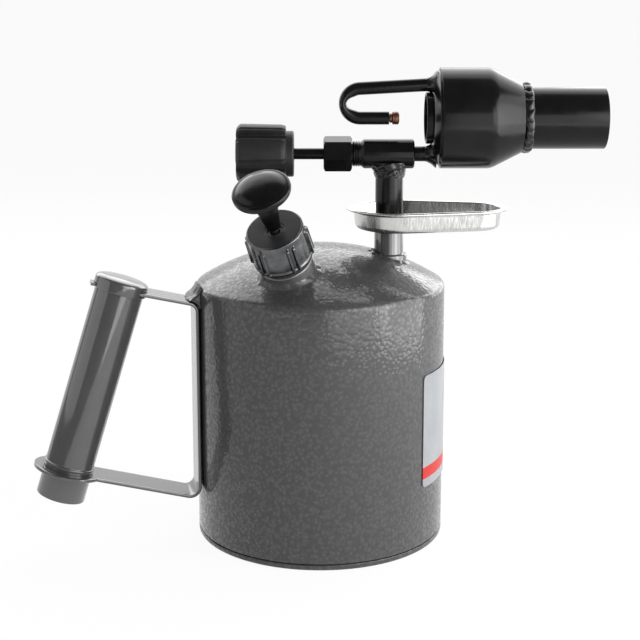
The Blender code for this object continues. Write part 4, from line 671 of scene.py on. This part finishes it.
def make_star_knob():
    """Moulded knob: radius = base + lobe x L(a), where L is a smooth window round each of five lobe
    middles, with a shallow groove near both edges of each. Corners are (base radius, lobe height, station,
    rounding) from the outer face round to the stepped bore."""
    root, rise = 11.8, 3.7
    middle, lobe_half, groove_place = -13 * DEGREE, 28.5 * DEGREE, 21 * DEGREE
    angle = around(360)
    off_lobe = np.abs((angle - middle + 36 * DEGREE) % (72 * DEGREE) - 36 * DEGREE)
    lobe = smooth_step((lobe_half - off_lobe) / (3.6 * DEGREE))
    groove = 0.25 * smooth_step((3.5 * DEGREE - np.abs(off_lobe - groove_place)) / (3 * DEGREE))
    left, right = KNOB_LEFT, KNOB_RIGHT
    face = [(3.8, 0, left, 0.3), (6.0, 0, left, 0.2), (6.4, 0, left + 0.5, 0.2), (8.6, 0, left + 0.5, 0.2),
            (9.0, 0, left, 0.2), (root - 0.8, rise - 1.2, left, 0.8), (root, rise, left + 2.0, 0.8),
            (root, rise - 0.5, left + 23.4, 1.0), (root, rise - 1.1, left + 25.3, 0.3),
            (root, 0, left + 25.5, 0.3), (root, 0, right - 0.6, 0.3), (root - 0.6, 0, right, 0.3),
            (3.2, 0, right, 0.2)]
    bore = [(3.2, 0, left + 9.2, 0), (1.8, 0, left + 9.2, 0), (1.8, 0, left + 3, 0), (3.8, 0, left + 3, 0)]
    base, height, station = np.split(rounded(face + bore, True), 3, axis=1)
    grid = polar(base + height * (lobe - groove * (height > 2)), angle, station)
    knob = make_surface("star_knob", grid, VALVE_AXIS, SATIN_PLASTIC, crease=50)
    dress(knob, "knob", "black_plastic", "control_knob")
    screw = [(0, left + 1.6, 0), (0.9, left + 1.6, 0), (1.1, left + 0.5, 0.1), (3.5, left + 0.5, 0.6),
             (3.5, left + 2.7, 0), (1.5, left + 2.7, 0), (1.5, left + 16.5, 0.2), (0, left + 16.5, 0)]
    fixing = spun("knob_fixing_screw", screw, VALVE_AXIS, STEEL, SMALL_SIDES)
    dress(fixing, "knob", "plain_steel", "knob_screw")


# Burner

def make_burner():
    """Jacket, back plate, air tube, flame barrel and feed pipe, all turned."""
    jacket = [(24.55, SHELL_LEFT, 0.3), (25.75, SHELL_LEFT, 0.4), (25.75, CONE_LEFT, 2.5),
              (17.65, CONE_RIGHT, 0.5), (16.05, CONE_RIGHT, 0.2), (24.55, CONE_LEFT, 2.5)]
    plate = [(13.55, 56.9, 0.6), (18.0, 57.6, 3.0), (24.25, SHELL_LEFT - 0.9, 0.8), (24.25, 65.5, 0.2),
             (23.25, 65.5, 0.2), (23.25, 62.6, 0.8), (13.55, 58.3, 0.2)]
    air = [(13.15, 54.1, 0.5), (13.15, 96.1, 0), (13.95, 101.1, 0), (13.95, 110.1, 0), (12.75, 110.1, 0),
           (12.75, 101.1, 0), (11.95, 96.1, 0), (11.95, 54.1, 0.5)]
    flame = tube(15.75, 14.25, 100.8, FLAME_RIGHT, 0.35)
    feed = tube(FEED_RADIUS, 2.5, 45.7, 64.2, 0.2)
    dress(spun("burner_jacket", jacket, BURNER_AXIS, BLACK), "lamp", "heat_black", "burner_shell")
    back = spun("burner_back", plate, BURNER_AXIS, BLACK)
    hole = spun("feed_way", bar(4.2, 50, 63), VALVE_AXIS, BLACK, SMALL_SIDES)
    dress(cut(back, CREASE, hole), "lamp", "heat_black", "rear_plate")
    dress(spun("air_tube", air, BURNER_AXIS, BLACK), "lamp", "heat_black", "mixing_tube")
    dress(spun("flame_barrel", flame, BURNER_AXIS, BLACK), "lamp", "heat_black", "flame_tube")
    dress(spun("feed_pipe", feed, VALVE_AXIS, BLACK, SMALL_SIDES), "lamp", "heat_black", "feed_tube")


def make_cone_bead():
    """The coarse ring of weld in front of the cone: for angle a and section angle s, the section is half a
    lens, radius + height (1 + cos s) / 2 and station + width / 2 x sin s, scaled by overlapping scallops
    whose phase slants across the bead."""
    radius, station, width, height, beads, seed = 16.0, CONE_RIGHT + 2.1, 5.0, 2.6, 19, 3
    angle = around(360)[None]
    section = np.linspace(-math.pi, math.pi, 28, endpoint=False)[:, None]
    phase = (angle * beads / TURN + 0.28 * np.sin(section) ** 2 + 0.1 * wander(angle, seed)) % 1
    scallop = 0.62 + 0.38 * np.sqrt(1 - (2 * phase - 1) ** 2)
    crest = height * (0.5 + 0.5 * np.cos(section)) * (scallop + 0.16 * wander(angle, seed))
    run = station + width / 2 * np.sin(section) * (0.92 + 0.14 * wander(angle, seed + 2))
    grid = polar(radius - 0.3 + crest, angle, run + 0.35 * wander(angle, seed + 3))
    bead = make_surface("cone_bead", grid, BURNER_AXIS, WELD, crease=60)
    dress(bead, "lamp", "heat_black", "burner_weld")


def make_collar(name, axis, pipe, flare, low, high, seed):
    """The fillet where a pipe enters the back plate: radius = pipe + flare s^2.2 from its toe on the pipe,
    s = 0, to the plate, s = 1, with slow lumps and shallow beads. Its inner face is a plain tube inside the
    pipe's wall."""
    beads = 9
    angle = around(120)[None]
    share = np.linspace(0, 1, 22)[:, None]
    phase = (angle * beads / TURN + 0.6 * share) % 1
    ripple = 0.22 * np.sqrt(1 - (2 * phase - 1) ** 2) * np.sin(math.pi * share)
    spread = flare * share ** 2.2 * (1 + 0.22 * wander(angle, seed))
    radius = pipe - 0.2 + spread + ripple + 0.25 * (share < 0.9)
    radius[0] = pipe - 0.25
    level = low + (high - low) * share
    grid = np.vstack((polar(radius, angle, level), polar(pipe - 0.4, angle, level)[::-1]))
    dress(make_surface(name, grid, axis, WELD, crease=60), "lamp", "heat_black")


def pipe_course():
    """The vapour pipe's centre line in the burner's frame: rise above the axis, run, heading, how much it
    is bent and whether it is on the bend. It leaves the plate falling slightly backwards, turns half a
    circle and comes back on the axis."""
    high = 2 * BEND_RADIUS + BEND_DROP
    slope = math.atan2(BEND_DROP, PIPE_ENTRY - BEND_RUN)
    along = np.linspace(0, 1, 14)[:-1]
    turn = np.linspace(slope, math.pi, 49)
    back = np.linspace(0, 1, 10)[1:]
    counts = (len(along), len(turn), len(back))
    rise = np.concatenate((high - BEND_DROP * along, 0 * turn + BEND_RADIUS, 0 * back))
    fall = PIPE_ENTRY + (BEND_RUN - PIPE_ENTRY) * along
    run = np.concatenate((fall, 0 * turn + BEND_RUN, BEND_RUN + RETURN_RUN * back))
    heading = np.concatenate((0 * along + slope, turn, 0 * back + math.pi))
    bent = np.concatenate((0 * along, np.sin(np.linspace(0, math.pi, len(turn))) ** 5, 0 * back))
    return rise, run, heading, bent, np.repeat((0.0, 1.0, 0.0), counts)


def make_vapour_pipe():
    """A pipe flattened on the inside of its bend, and the jet on its end. Each ring is an oval, and its half
    width is r (1 - pinch x bent) in the plane of the bend and r (1 + spread x bent) across it."""
    bore, pipe_pinch, bore_pinch, spread = 1.9, 0.4, 0.45, 0.16
    rise, run, heading, bent, on_bend = (part[:, None] for part in pipe_course())
    angle = around(SMALL_SIDES)[None]
    rings = []
    for radius, pinch in ((PIPE_RADIUS, pipe_pinch), (bore, bore_pinch)):
        half = radius * (1 - pinch * bent)
        reach = on_bend * (BEND_RADIUS + PIPE_RADIUS * pipe_pinch * bent) + half * np.cos(angle)
        across = radius * (1 + spread * bent) * np.sin(angle)
        above = rise + reach * np.cos(heading)
        rings.append(np.stack((across, -above, run - reach * np.sin(heading)), axis=-1))
    grid = np.vstack((rings[0], rings[1][::-1]))
    pipe = make_surface("vapour_bend", grid, BURNER_AXIS, BLACK, crease=50)
    dress(pipe, "lamp", "heat_black", "vapour_pipe")
    left = BEND_RUN + RETURN_RUN
    nozzle = [(0.5, left - 5, 0), (1.6, left - 5, 0), (1.6, left + 0.3, 0), (2.4, left + 0.3, 0.1),
              (2.4, left + 1.5, 0.1), (3.3, left + 1.9, 0.2), (3.3, left + 2.6, 0.1), (3.05, left + 2.8, 0.1),
              (3.3, left + 3.0, 0.1), (3.3, left + 4.6, 0.3), (2.6, left + 5.2, 0.2), (0.5, left + 5.2, 0)]
    dress(spun("jet_nozzle", nozzle, BURNER_AXIS, JET_BRASS, SMALL_SIDES), "lamp", "nozzle_brass", "nozzle")


def make_pipe_fillets():
    """The fillets where the two pipes enter the back plate."""
    make_collar("feed_fillet", VALVE_AXIS, FEED_RADIUS, 3.6, 53.6, 59.6, seed=5)
    slope = math.atan2(BEND_DROP, PIPE_ENTRY - BEND_RUN)
    line = (0, -math.sin(slope), math.cos(slope))
    vapour_axis = axis_frame((0, -2 * BEND_RADIUS, BEND_RUN), line, (1, 0, 0), BURNER_AXIS)
    make_collar("vapour_fillet", vapour_axis, PIPE_RADIUS, 3.8, 33.6, 39.6, seed=8)


# Pump

def make_neck():
    """Filler neck and the weld that holds its boss in the dome."""
    neck = [(8.0, -7, 0.2), (11.0, -7, 0.2), (11.0, -1.0, 0), (13.8, -1.0, 0), (13.8, 8.4, 0.8),
            (11.0, 9.4, 0.3), (11.0, NECK_TOP, 0.4), (8.0, NECK_TOP, 0.4)]
    dress(spun("filler_boss", neck, PUMP_AXIS, ENAMEL, FULL_SIDES), "lamp", "smooth_paint", "filler_neck")
    make_dome_fillet("neck_fillet", PUMP_AXIS, 13.7, 16.6, 2.6, seed=1, lumps=22)


def make_ring_cap():
    """Ribbed ring nut and the disc laid in its top. Radius = skirt + (rib - skirt) x W(a) x E(h): W is a
    pair of narrow windows at each of six places, and E fades the ribs out towards the rounded top edge and
    the foot."""
    web_low, web_high = NECK_TOP + 3.9, NECK_TOP + 7.1
    corners = [(2.8, web_low, 0), (11.3, web_low, 0), (11.3, CAP_BASE, 0.3), (15.0, CAP_BASE, 0.5),
               (15.0, CAP_BASE + 1.4, 0.4), (14.6, CAP_BASE + 1.8, 0.3), (14.35, CAP_TOP - 1.2, 0.4),
               (14.25, CAP_TOP, 1.1), (13.3, CAP_TOP + 0.1, 0.5), (13.3, CAP_TOP - 0.3, 0.1),
               (13.55, web_high, 0), (2.8, web_high, 0)]
    profile = rounded(corners, True)
    wall = np.linspace(0, 1, 33)[1:-1, None]
    start = np.flatnonzero((np.diff(profile[:, 1]) > 5) & (profile[:-1, 0] > 14))[0]
    side = profile[start] + (profile[start + 1] - profile[start]) * wall
    profile = np.vstack((profile[:start + 1], side, profile[start + 1:]))
    angle = around(720)
    first_pair, rib_offset, rib_half = 49 * DEGREE, 6.2 * DEGREE, 4.0 * DEGREE
    off_pair = (angle - first_pair + 30 * DEGREE) % (60 * DEGREE) - 30 * DEGREE
    off_rib = np.abs(np.abs(off_pair) - rib_offset)
    rib = smooth_step((rib_half - off_rib) / (2.6 * DEGREE))
    skirt, height = profile[:, :1], profile[:, 1:]
    outside = (skirt > 13.9) & (height > CAP_BASE + 0.2)
    fade = smooth_step((CAP_TOP - 2.4 - height) / 1.3) * smooth_step((height - CAP_BASE - 0.2) / 0.8)
    straight = 16.1 - 0.3 * smooth_step((height - CAP_BASE) / 15)
    grid = polar(skirt + (straight - skirt) * rib * fade * outside, angle, height)
    cap = make_surface("ring_cap", grid, PUMP_AXIS, CASTING, crease=45)
    dress(cap, "ring_nut", "zinc_casting", "pump_cap")
    inlay = [(3.75, CAP_TOP - 1.1, 0), (13.25, CAP_TOP - 1.1, 0.1), (13.25, CAP_TOP, 0.25),
             (5.2, CAP_TOP, 0.2), (4.8, CAP_TOP - 0.4, 0.1), (3.75, CAP_TOP - 0.4, 0.1)]
    dress(spun("cap_inlay", inlay, PUMP_AXIS, SATIN_PLASTIC), "ring_nut", "heat_black", "cap_disc")


def make_plunger():
    """Mushroom knob on its rod."""
    foot, plate = CAP_TOP + 1.7, KNOB_PLATE
    knob = [(0, foot + 12.3, 0), (2.8, foot + 12.3, 0), (2.8, foot, 0.1), (3.5, foot, 0.5),
            (3.9, foot + 3.0, 1), (6.3, foot + 17.0, 2), (8.2, plate - 1.9, 1.5), (13.2, plate - 1.1, 0.7),
            (14.4, plate - 0.2, 0.8), (14.4, plate + 2.2, 0.8), (13.4, plate + 2.9, 0.6),
            (12.5, plate + 2.9, 0.6), (9.0, plate + 4.8, 3.0), (4.0, plate + 5.7, 2.5), (0, plate + 5.8, 0)]
    mushroom = spun("mushroom_knob", knob, PUMP_AXIS, GLOSS_PLASTIC)
    dress(mushroom, "plunger", "gloss_black_plastic", "pump_knob")
    rod = [(0, -70.5, 0), (1.8, -70.5, 0.2), (1.8, -61.1, 0), (2.5, -61.1, 0.2), (2.5, foot + 12, 0.2),
           (0, foot + 12, 0)]
    dress(spun("plunger_rod", rod, PUMP_AXIS, STEEL, SMALL_SIDES), "plunger", "plain_steel", "pump_rod")


def make_pump_barrel():
    """Barrel, seal and foot valve, which show when the pump is lifted out."""
    seal, flange, foot = NECK_TOP + 0.3, NECK_TOP + 2.1, NECK_TOP - 98.9
    barrel = [(6.2, foot, 0.2), (7.0, foot, 0.3), (7.0, flange, 0), (11.0, flange, 0.2),
              (11.0, flange + 1.5, 0.2), (6.2, flange + 1.5, 0.2)]
    dress(spun("brass_barrel", barrel, PUMP_AXIS, BRASS, PIPE_SIDES), "pump", "brass", "pump_barrel")
    ring = spun("neck_seal", tube(10.6, 7.3, seal, seal + 1.5), PUMP_AXIS, RUBBER, PIPE_SIDES)
    dress(ring, "pump", "black_rubber", "neck_gasket")
    plug, tip = foot - 0.3, foot - 12.3
    valve = [(0, tip + 2.5, 0), (0.9, tip + 2.5, 0), (0.9, foot + 6, 0), (5.9, foot + 6, 0.2), (5.9, plug, 0),
             (7.0, plug, 0.2), (7.0, plug - 2, 0.4), (2.5, plug - 2, 0.1), (2.5, tip, 0.6), (0, tip, 0)]
    body = spun("foot_valve", valve, PUMP_AXIS, BRASS, SMALL_SIDES)
    port_axis = axis_frame((0, 0, tip + 5), (1, 0, 0), (0, 1, 0), PUMP_AXIS)
    port = spun("foot_port", bar(0.7, 0, 5), port_axis, BRASS, SMALL_SIDES)
    dress(cut(body, CREASE, port), "pump", "brass", "check_valve_body")
    sleeve = spun("foot_sleeve", tube(3.8, 2.8, plug - 10.3, plug - 2.3), PUMP_AXIS, RUBBER, SMALL_SIDES)
    dress(sleeve, "pump", "black_rubber", "check_valve_sleeve")


# Handle

def strap_course():
    """The strap's centre line in the handle's plane as (x, z), and its half width at each point. Straight
    runs are joined by arcs that touch both. The first run starts as a narrow tail outside the cap and goes
    through the grip, and the last one widens into a disc round the grip."""
    down = np.array((math.sin(GRIP_LEAN), -math.cos(GRIP_LEAN)))
    out = np.array((math.cos(ARM_RISE), math.sin(ARM_RISE)))
    top = np.array((GRIP_TOP[0], GRIP_TOP[2]))
    bend, disc, half, tail_half, tail_length = 5.0, 17.5, 10.0, 4.0, 1.6
    line = TANK_RADIUS + 1.2
    slot = top + down * SLOT_DROP
    tail = slot + out * (GRIP_CAP_RADIUS + tail_length)
    high = slot - out * (slot[0] - line) / out[0]
    low = np.array((line, 22.8))
    ring = top + down * RING_DROP
    onward = (ring - low) / np.linalg.norm(ring - low)
    joint = ring - onward * math.sqrt(disc ** 2 - half ** 2)
    run = np.linalg.norm(bend_end(high, tail, low, bend) - tail)
    reach = np.concatenate((np.linspace(0, 12.05, 6), np.linspace(12.3, 13.0, 5), np.linspace(16, run, 8)))
    from_low = bend_end(low, joint, high, bend)
    last_run = from_low + np.linspace(0.02, 1, 12)[:, None] * (joint - from_low)
    bends = (bend_arc(high, tail, low, bend), bend_arc(low, high, joint, bend))
    straight = np.vstack((tail - out * reach[:, None], *bends, last_run))
    angle = np.linspace(math.asin(half / disc), math.pi * 0.995, 40)[1:]
    round_part = ring - onward * (disc * np.cos(angle))[:, None]
    start = tail_half + (half - tail_half) * smooth_step((reach - 12.1) / 0.8)
    width = np.concatenate((start, np.full(len(straight) - len(start), half), disc * np.sin(angle)))
    return np.vstack((straight, round_part)), width


def bend_end(corner, near, far, radius):
    """The point on the run towards near where an arc of the given radius leaves the straight: radius /
    tan(half the corner's angle) from the corner."""
    back = (near - corner) / np.linalg.norm(near - corner)
    on = (far - corner) / np.linalg.norm(far - corner)
    half = math.acos(float(back @ on)) / 2
    return corner + back * radius / math.tan(half)


def bend_arc(corner, near, far, radius):
    """Points along the arc that joins two straight runs at a corner."""
    start = bend_end(corner, near, far, radius)
    end = bend_end(corner, far, near, radius)
    middle_way = (start + end) / 2 - corner
    back, on = start - corner, end - corner
    half = math.acos(float(back @ on) / float(back @ back)) / 2
    middle = corner + middle_way / np.linalg.norm(middle_way) * radius / math.sin(half)
    first = math.atan2(*(start - middle)[::-1])
    sweep = (math.atan2(*(end - middle)[::-1]) - first + math.pi) % TURN - math.pi
    return arc(middle, radius, first, first + sweep, 14)


def make_strap():
    """Rolled steel strap: a flat bar's section with round edges, half width x cos and half thickness x sin
    of a superellipse, carried along the course and drilled for the grip."""
    course, width = strap_course()
    half, squareness = 0.9, 0.2
    ahead = np.gradient(course, axis=0)
    ahead /= np.linalg.norm(ahead, axis=1)[:, None]
    angle = around(40)[None]
    flat_cos = np.sign(np.cos(angle)) * np.abs(np.cos(angle)) ** squareness
    rise = half * np.sign(np.sin(angle)) * np.abs(np.sin(angle)) ** squareness
    side = np.clip(width[:, None] - half + half * np.abs(flat_cos), 0.02, None) * flat_cos
    x = course[:, :1] - ahead[:, 1:] * rise
    z = course[:, 1:] + ahead[:, :1] * rise
    grid = np.stack((x, side, z), axis=-1)
    ends = [np.broadcast_to(grid[end].mean(axis=0), grid[:1].shape) for end in (0, -1)]
    bar_grid = np.vstack((ends[0], grid, ends[1]))
    strap = make_surface("strap_steel", bar_grid, HANDLE_PLANE, ENAMEL, rows_closed=False, crease=50)
    hole = spun("grip_hole", bar(12.8, -110, -99), GRIP_AXIS, ENAMEL, PIPE_SIDES)
    dress(cut(strap, 50, hole), "lamp", "smooth_paint", "handle_strap")


def make_strap_fillet():
    """Weld above the strap's top bend, in the corner it makes with the tank. For share w across the strap
    and share s round the outline, y = half x sin(pi w / 2), and x and z run round the outline, scaled about
    its middle by a factor that falls to nothing at both ends of w. The edge at the tank follows the wall,
    x = sqrt(R^2 - y^2). The crown is lower towards the ends, and lumps run along it."""
    half, middle_x, middle_z, lumpy = 9.9, 66.0, 129.5, 65.6
    width = np.linspace(-1, 1, 61)[:, None]
    across = half * np.sin(width * math.pi / 2)
    outline = np.array([(64.8, 123.2), (65.4, 124.2), (66.0, 125.3), (67.1, 126.7), (68.4, 127.6),
                        (70.6, 128.5), (69.0, 129.9), (67.4, 131.6), (66.2, 133.6), (64.8, 136.4)])
    closed = np.vstack((outline, outline[:1]))
    share = np.linspace(0, len(outline), 60, endpoint=False)
    edge_x, edge_z = (np.interp(share, np.arange(len(closed)), closed[:, column]) for column in (0, 1))
    lumps = 0.08 * np.sin(5 * width + 1) + 0.05 * np.sin(11 * width) + 0.03 * np.sin(23 * width + 2)
    grow = np.sqrt(np.clip(1 - width ** 8, 0, 1)) * (1 + lumps * (edge_x > lumpy))
    wall = np.sqrt(TANK_RADIUS ** 2 - across ** 2) - TANK_RADIUS
    near = wall * np.clip((68.5 - edge_x) / 3.0, 0, 1)
    crown = np.where(edge_z > middle_z, 1 - 0.45 * width ** 2, 1)
    x = middle_x + (edge_x - middle_x) * grow * (1 - 0.2 * width ** 2) + near
    z = middle_z + (edge_z - middle_z) * grow * crown
    grid = np.stack(np.broadcast_arrays(x, across, z), axis=-1)
    fillet = make_surface("strap_fillet", grid, HANDLE_PLANE, HAMMER, rows_closed=False, crease=60)
    dress(fillet, "lamp", "hammer_paint", "strap_weld")


def make_grip():
    """Tube grip with its rolled bead, and the domed cap pressed over its top, both slotted for the strap.
    The slot's outline is a T, narrow where the strap's tail comes out."""
    outer = GRIP_CAP_RADIUS
    grip = [(11.0, -119.0, 0.3), (12.5, -119.0, 0.6), (12.5, -102.2, 0.2), (13.1, -101.9, 0.4),
            (13.1, -100.9, 0.4), (12.5, -100.6, 0.3), (12.5, -2.3, 0.3), (11.0, -2.3, 0.3)]
    cap = [(0, -2.0, 0), (12.8, -2.0, 0), (12.8, -7.6, 0.2), (outer, -7.6, 0.4), (outer, -1.8, 1.6),
           (11.5, -0.7, 2.0), (6.0, -0.15, 2.0), (0, 0, 0)]
    lean, rise = GRIP_LEAN, ARM_RISE
    slot_place = (GRIP_TOP[0] + SLOT_DROP * math.sin(lean), 0, GRIP_TOP[2] - SLOT_DROP * math.cos(lean))
    up, along = (-math.sin(rise), 0, math.cos(rise)), (math.cos(rise), 0, math.sin(rise))
    arm_axis = axis_frame(slot_place, up, along, HANDLE_PLANE)
    reach, step, wide, narrow, thick = 19, 3.3, 10.3, 4.3, 1.2
    near_side = [(-reach, -wide), (0, -wide), (step, -wide), (step, -narrow), (reach, -narrow)]
    outline = np.array(near_side + [(x, -y) for x, y in near_side[::-1]])
    rows = [np.column_stack((outline, np.full(len(outline), level))) for level in (-thick, thick)]
    ends = [np.tile((0.0, 0.0, row[0, 2]), (len(outline), 1)) for row in rows]
    slot_grid = np.array([ends[0], rows[0], rows[1], ends[1]])
    for name, corners, node in (("grip_handle", grip, "grip_tube"), ("grip_end_cap", cap, "grip_cap")):
        piece = spun(name, corners, GRIP_AXIS, ENAMEL, FULL_SIDES)
        slot = make_surface("strap_slot", slot_grid, arm_axis, ENAMEL, rows_closed=False)
        dress(cut(piece, CREASE, slot), "lamp", "smooth_paint", node)


# Light and camera

def studio_white(name, glow):
    """White card: lit as a pale matt surface. The camera sees it glow white by the share given, and mirrors
    and glass see it glow fully."""
    finish = new_finish(name)
    tree = finish.node_tree
    path = add_node(tree, "LightPath").outputs
    seen = add_node(tree, "Math", {0: path["Is Camera Ray"], 1: glow}, operation="MULTIPLY").outputs["Value"]
    for ray in ("Is Glossy Ray", "Is Transmission Ray"):
        seen = add_node(tree, "Math", {0: seen, 1: path[ray]}, operation="MAXIMUM").outputs["Value"]
    matt = add_node(tree, "BsdfDiffuse", {"Color": linear("f2f2f2")}).outputs["BSDF"]
    white = add_node(tree, "Emission", {"Color": (1, 1, 1, 1), "Strength": 1.0}).outputs["Emission"]
    mixed = add_node(tree, "MixShader", {0: seen, 1: matt, 2: white}).outputs["Shader"]
    add_node(tree, "OutputMaterial", {"Surface": mixed})
    return finish


def make_stage():
    """A floor that sweeps up into a backdrop: x across, y = back + R sin t and z = R - R cos t over the
    bend. The backdrop stands far enough back for the camera to go round the lamp in front of it."""
    front, back, bend, top, half = -900.0, 1240.0, 520.0, 3000.0, 3200.0
    turn = np.linspace(0, math.pi / 2, 24)
    y = np.concatenate(([front], back + bend * np.sin(turn), [back + bend]))
    z = np.concatenate(([0.0], bend - bend * np.cos(turn), [top]))
    grid = np.stack(np.broadcast_arrays(np.array((-half, half)), y[:, None], z[:, None]), axis=-1)
    mesh = bpy.data.meshes.new("studio_sweep")
    mesh.from_pydata((grid.reshape(-1, 3) * MM).tolist(), [], grid_faces(len(y), 2, False, False).tolist())
    mesh.materials.append(studio_white("white_card", 0.93))
    mesh.shade_smooth()
    place_object("studio_sweep", mesh)


def add_softbox(name, place, target, width, height, radiance):
    """A rectangular lamp at a place, facing a target, in metres. Its power is pi x area x radiance, and the
    camera doesn't see it."""
    lamp = bpy.data.lights.new(name, "AREA")
    lamp.shape = "RECTANGLE"
    lamp.size = width
    lamp.size_y = height
    lamp.energy = math.pi * width * height * radiance
    holder = place_object(name, lamp)
    holder.location = place
    holder.rotation_euler = (Vector(target) - Vector(place)).to_track_quat("-Z", "Y").to_euler()
    holder.visible_camera = False


def make_light():
    """A dim room, a wide bank of light high behind the lamp, and soft panels: in front on the right, near
    the camera, close on the right, behind on the right and on the left, with a narrow strip behind on the
    left."""
    world = bpy.data.worlds.new("studio_room")
    bpy.context.scene.world = world
    world.use_nodes = True
    tree = world.node_tree
    tree.nodes.clear()
    glow = add_node(tree, "Background", {"Color": (1, 1, 1, 1), "Strength": 0.2}).outputs["Background"]
    add_node(tree, "OutputWorld", {"Surface": glow})
    add_softbox("back_bank", (0.1, 0.7, 0.86), (0.05, 0, 0.15), 2.6, 1.1, 1.9)
    add_softbox("front_panel", (0.85, -0.8, 0.4), (0, 0, 0.15), 1.1, 0.8, 2.6)
    add_softbox("near_panel", (0.31, -0.45, 0.19), (0, 0, 0.19), 0.6, 0.38, 2.0)
    add_softbox("right_panel", (0.42, -0.12, 0.25), (0, -0.05, 0.2), 0.45, 0.5, 3.4)
    add_softbox("rear_panel", (0.45, 0.5, 0.3), (0, 0, 0.15), 0.5, 0.5, 1.8)
    add_softbox("left_panel", (-0.4, -0.12, 0.3), (0, -0.05, 0.25), 0.42, 0.4, 0.9)
    add_softbox("left_strip", (-0.4, 0.34, 0.34), (0, 0, 0.25), 0.05, 0.18, 3.0)


def make_camera():
    """The photograph's viewpoint: 0.73 m in front of the tank's axis and 0.29 m above the floor, looking 11
    degrees down. In a frame of 640 pixels the lens is 1420 pixels long and its middle row is 259.3."""
    frame_pixels, lens_pixels, middle_row, sensor = 640, 1420, 259.3, 36.0
    camera = bpy.data.cameras.new("view")
    camera.sensor_width = sensor
    camera.lens = sensor * lens_pixels / frame_pixels
    camera.shift_y = (middle_row - frame_pixels / 2) / frame_pixels
    camera.clip_start = 0.05
    camera.clip_end = 20
    holder = place_object("view", camera)
    holder.location = (0.0, -0.7278, 0.2868)
    holder.rotation_euler = ((90 - 11) * DEGREE, 0, 0)
    bpy.context.scene.camera = holder


# Assembly

def dress_hidden_nodes():
    """Inner pieces that keep their CAD shape get their real stuff."""
    stuffs = {"packing_ring": GRAPHITE, "gland_follower": BRASS, "pickup_tube": BRASS, "wick": COTTON,
              "pump_cup": LEATHER, "cup_washer": BRASS, "cup_nut": STEEL}
    for node, finish in stuffs.items():
        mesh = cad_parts[node].data
        mesh.materials.clear()
        mesh.materials.append(finish)


make_tank()
make_sticker()
make_outlet()
make_tray()
make_riser()
make_valve()
make_gland_nut()
make_star_knob()
make_burner()
make_vapour_pipe()
make_cone_bead()
make_pipe_fillets()
make_neck()
make_ring_cap()
make_plunger()
make_pump_barrel()
make_strap()
make_strap_fillet()
make_grip()
dress_hidden_nodes()
make_stage()
make_light()
make_camera()
bpy.context.scene.view_settings.view_transform = "Standard"
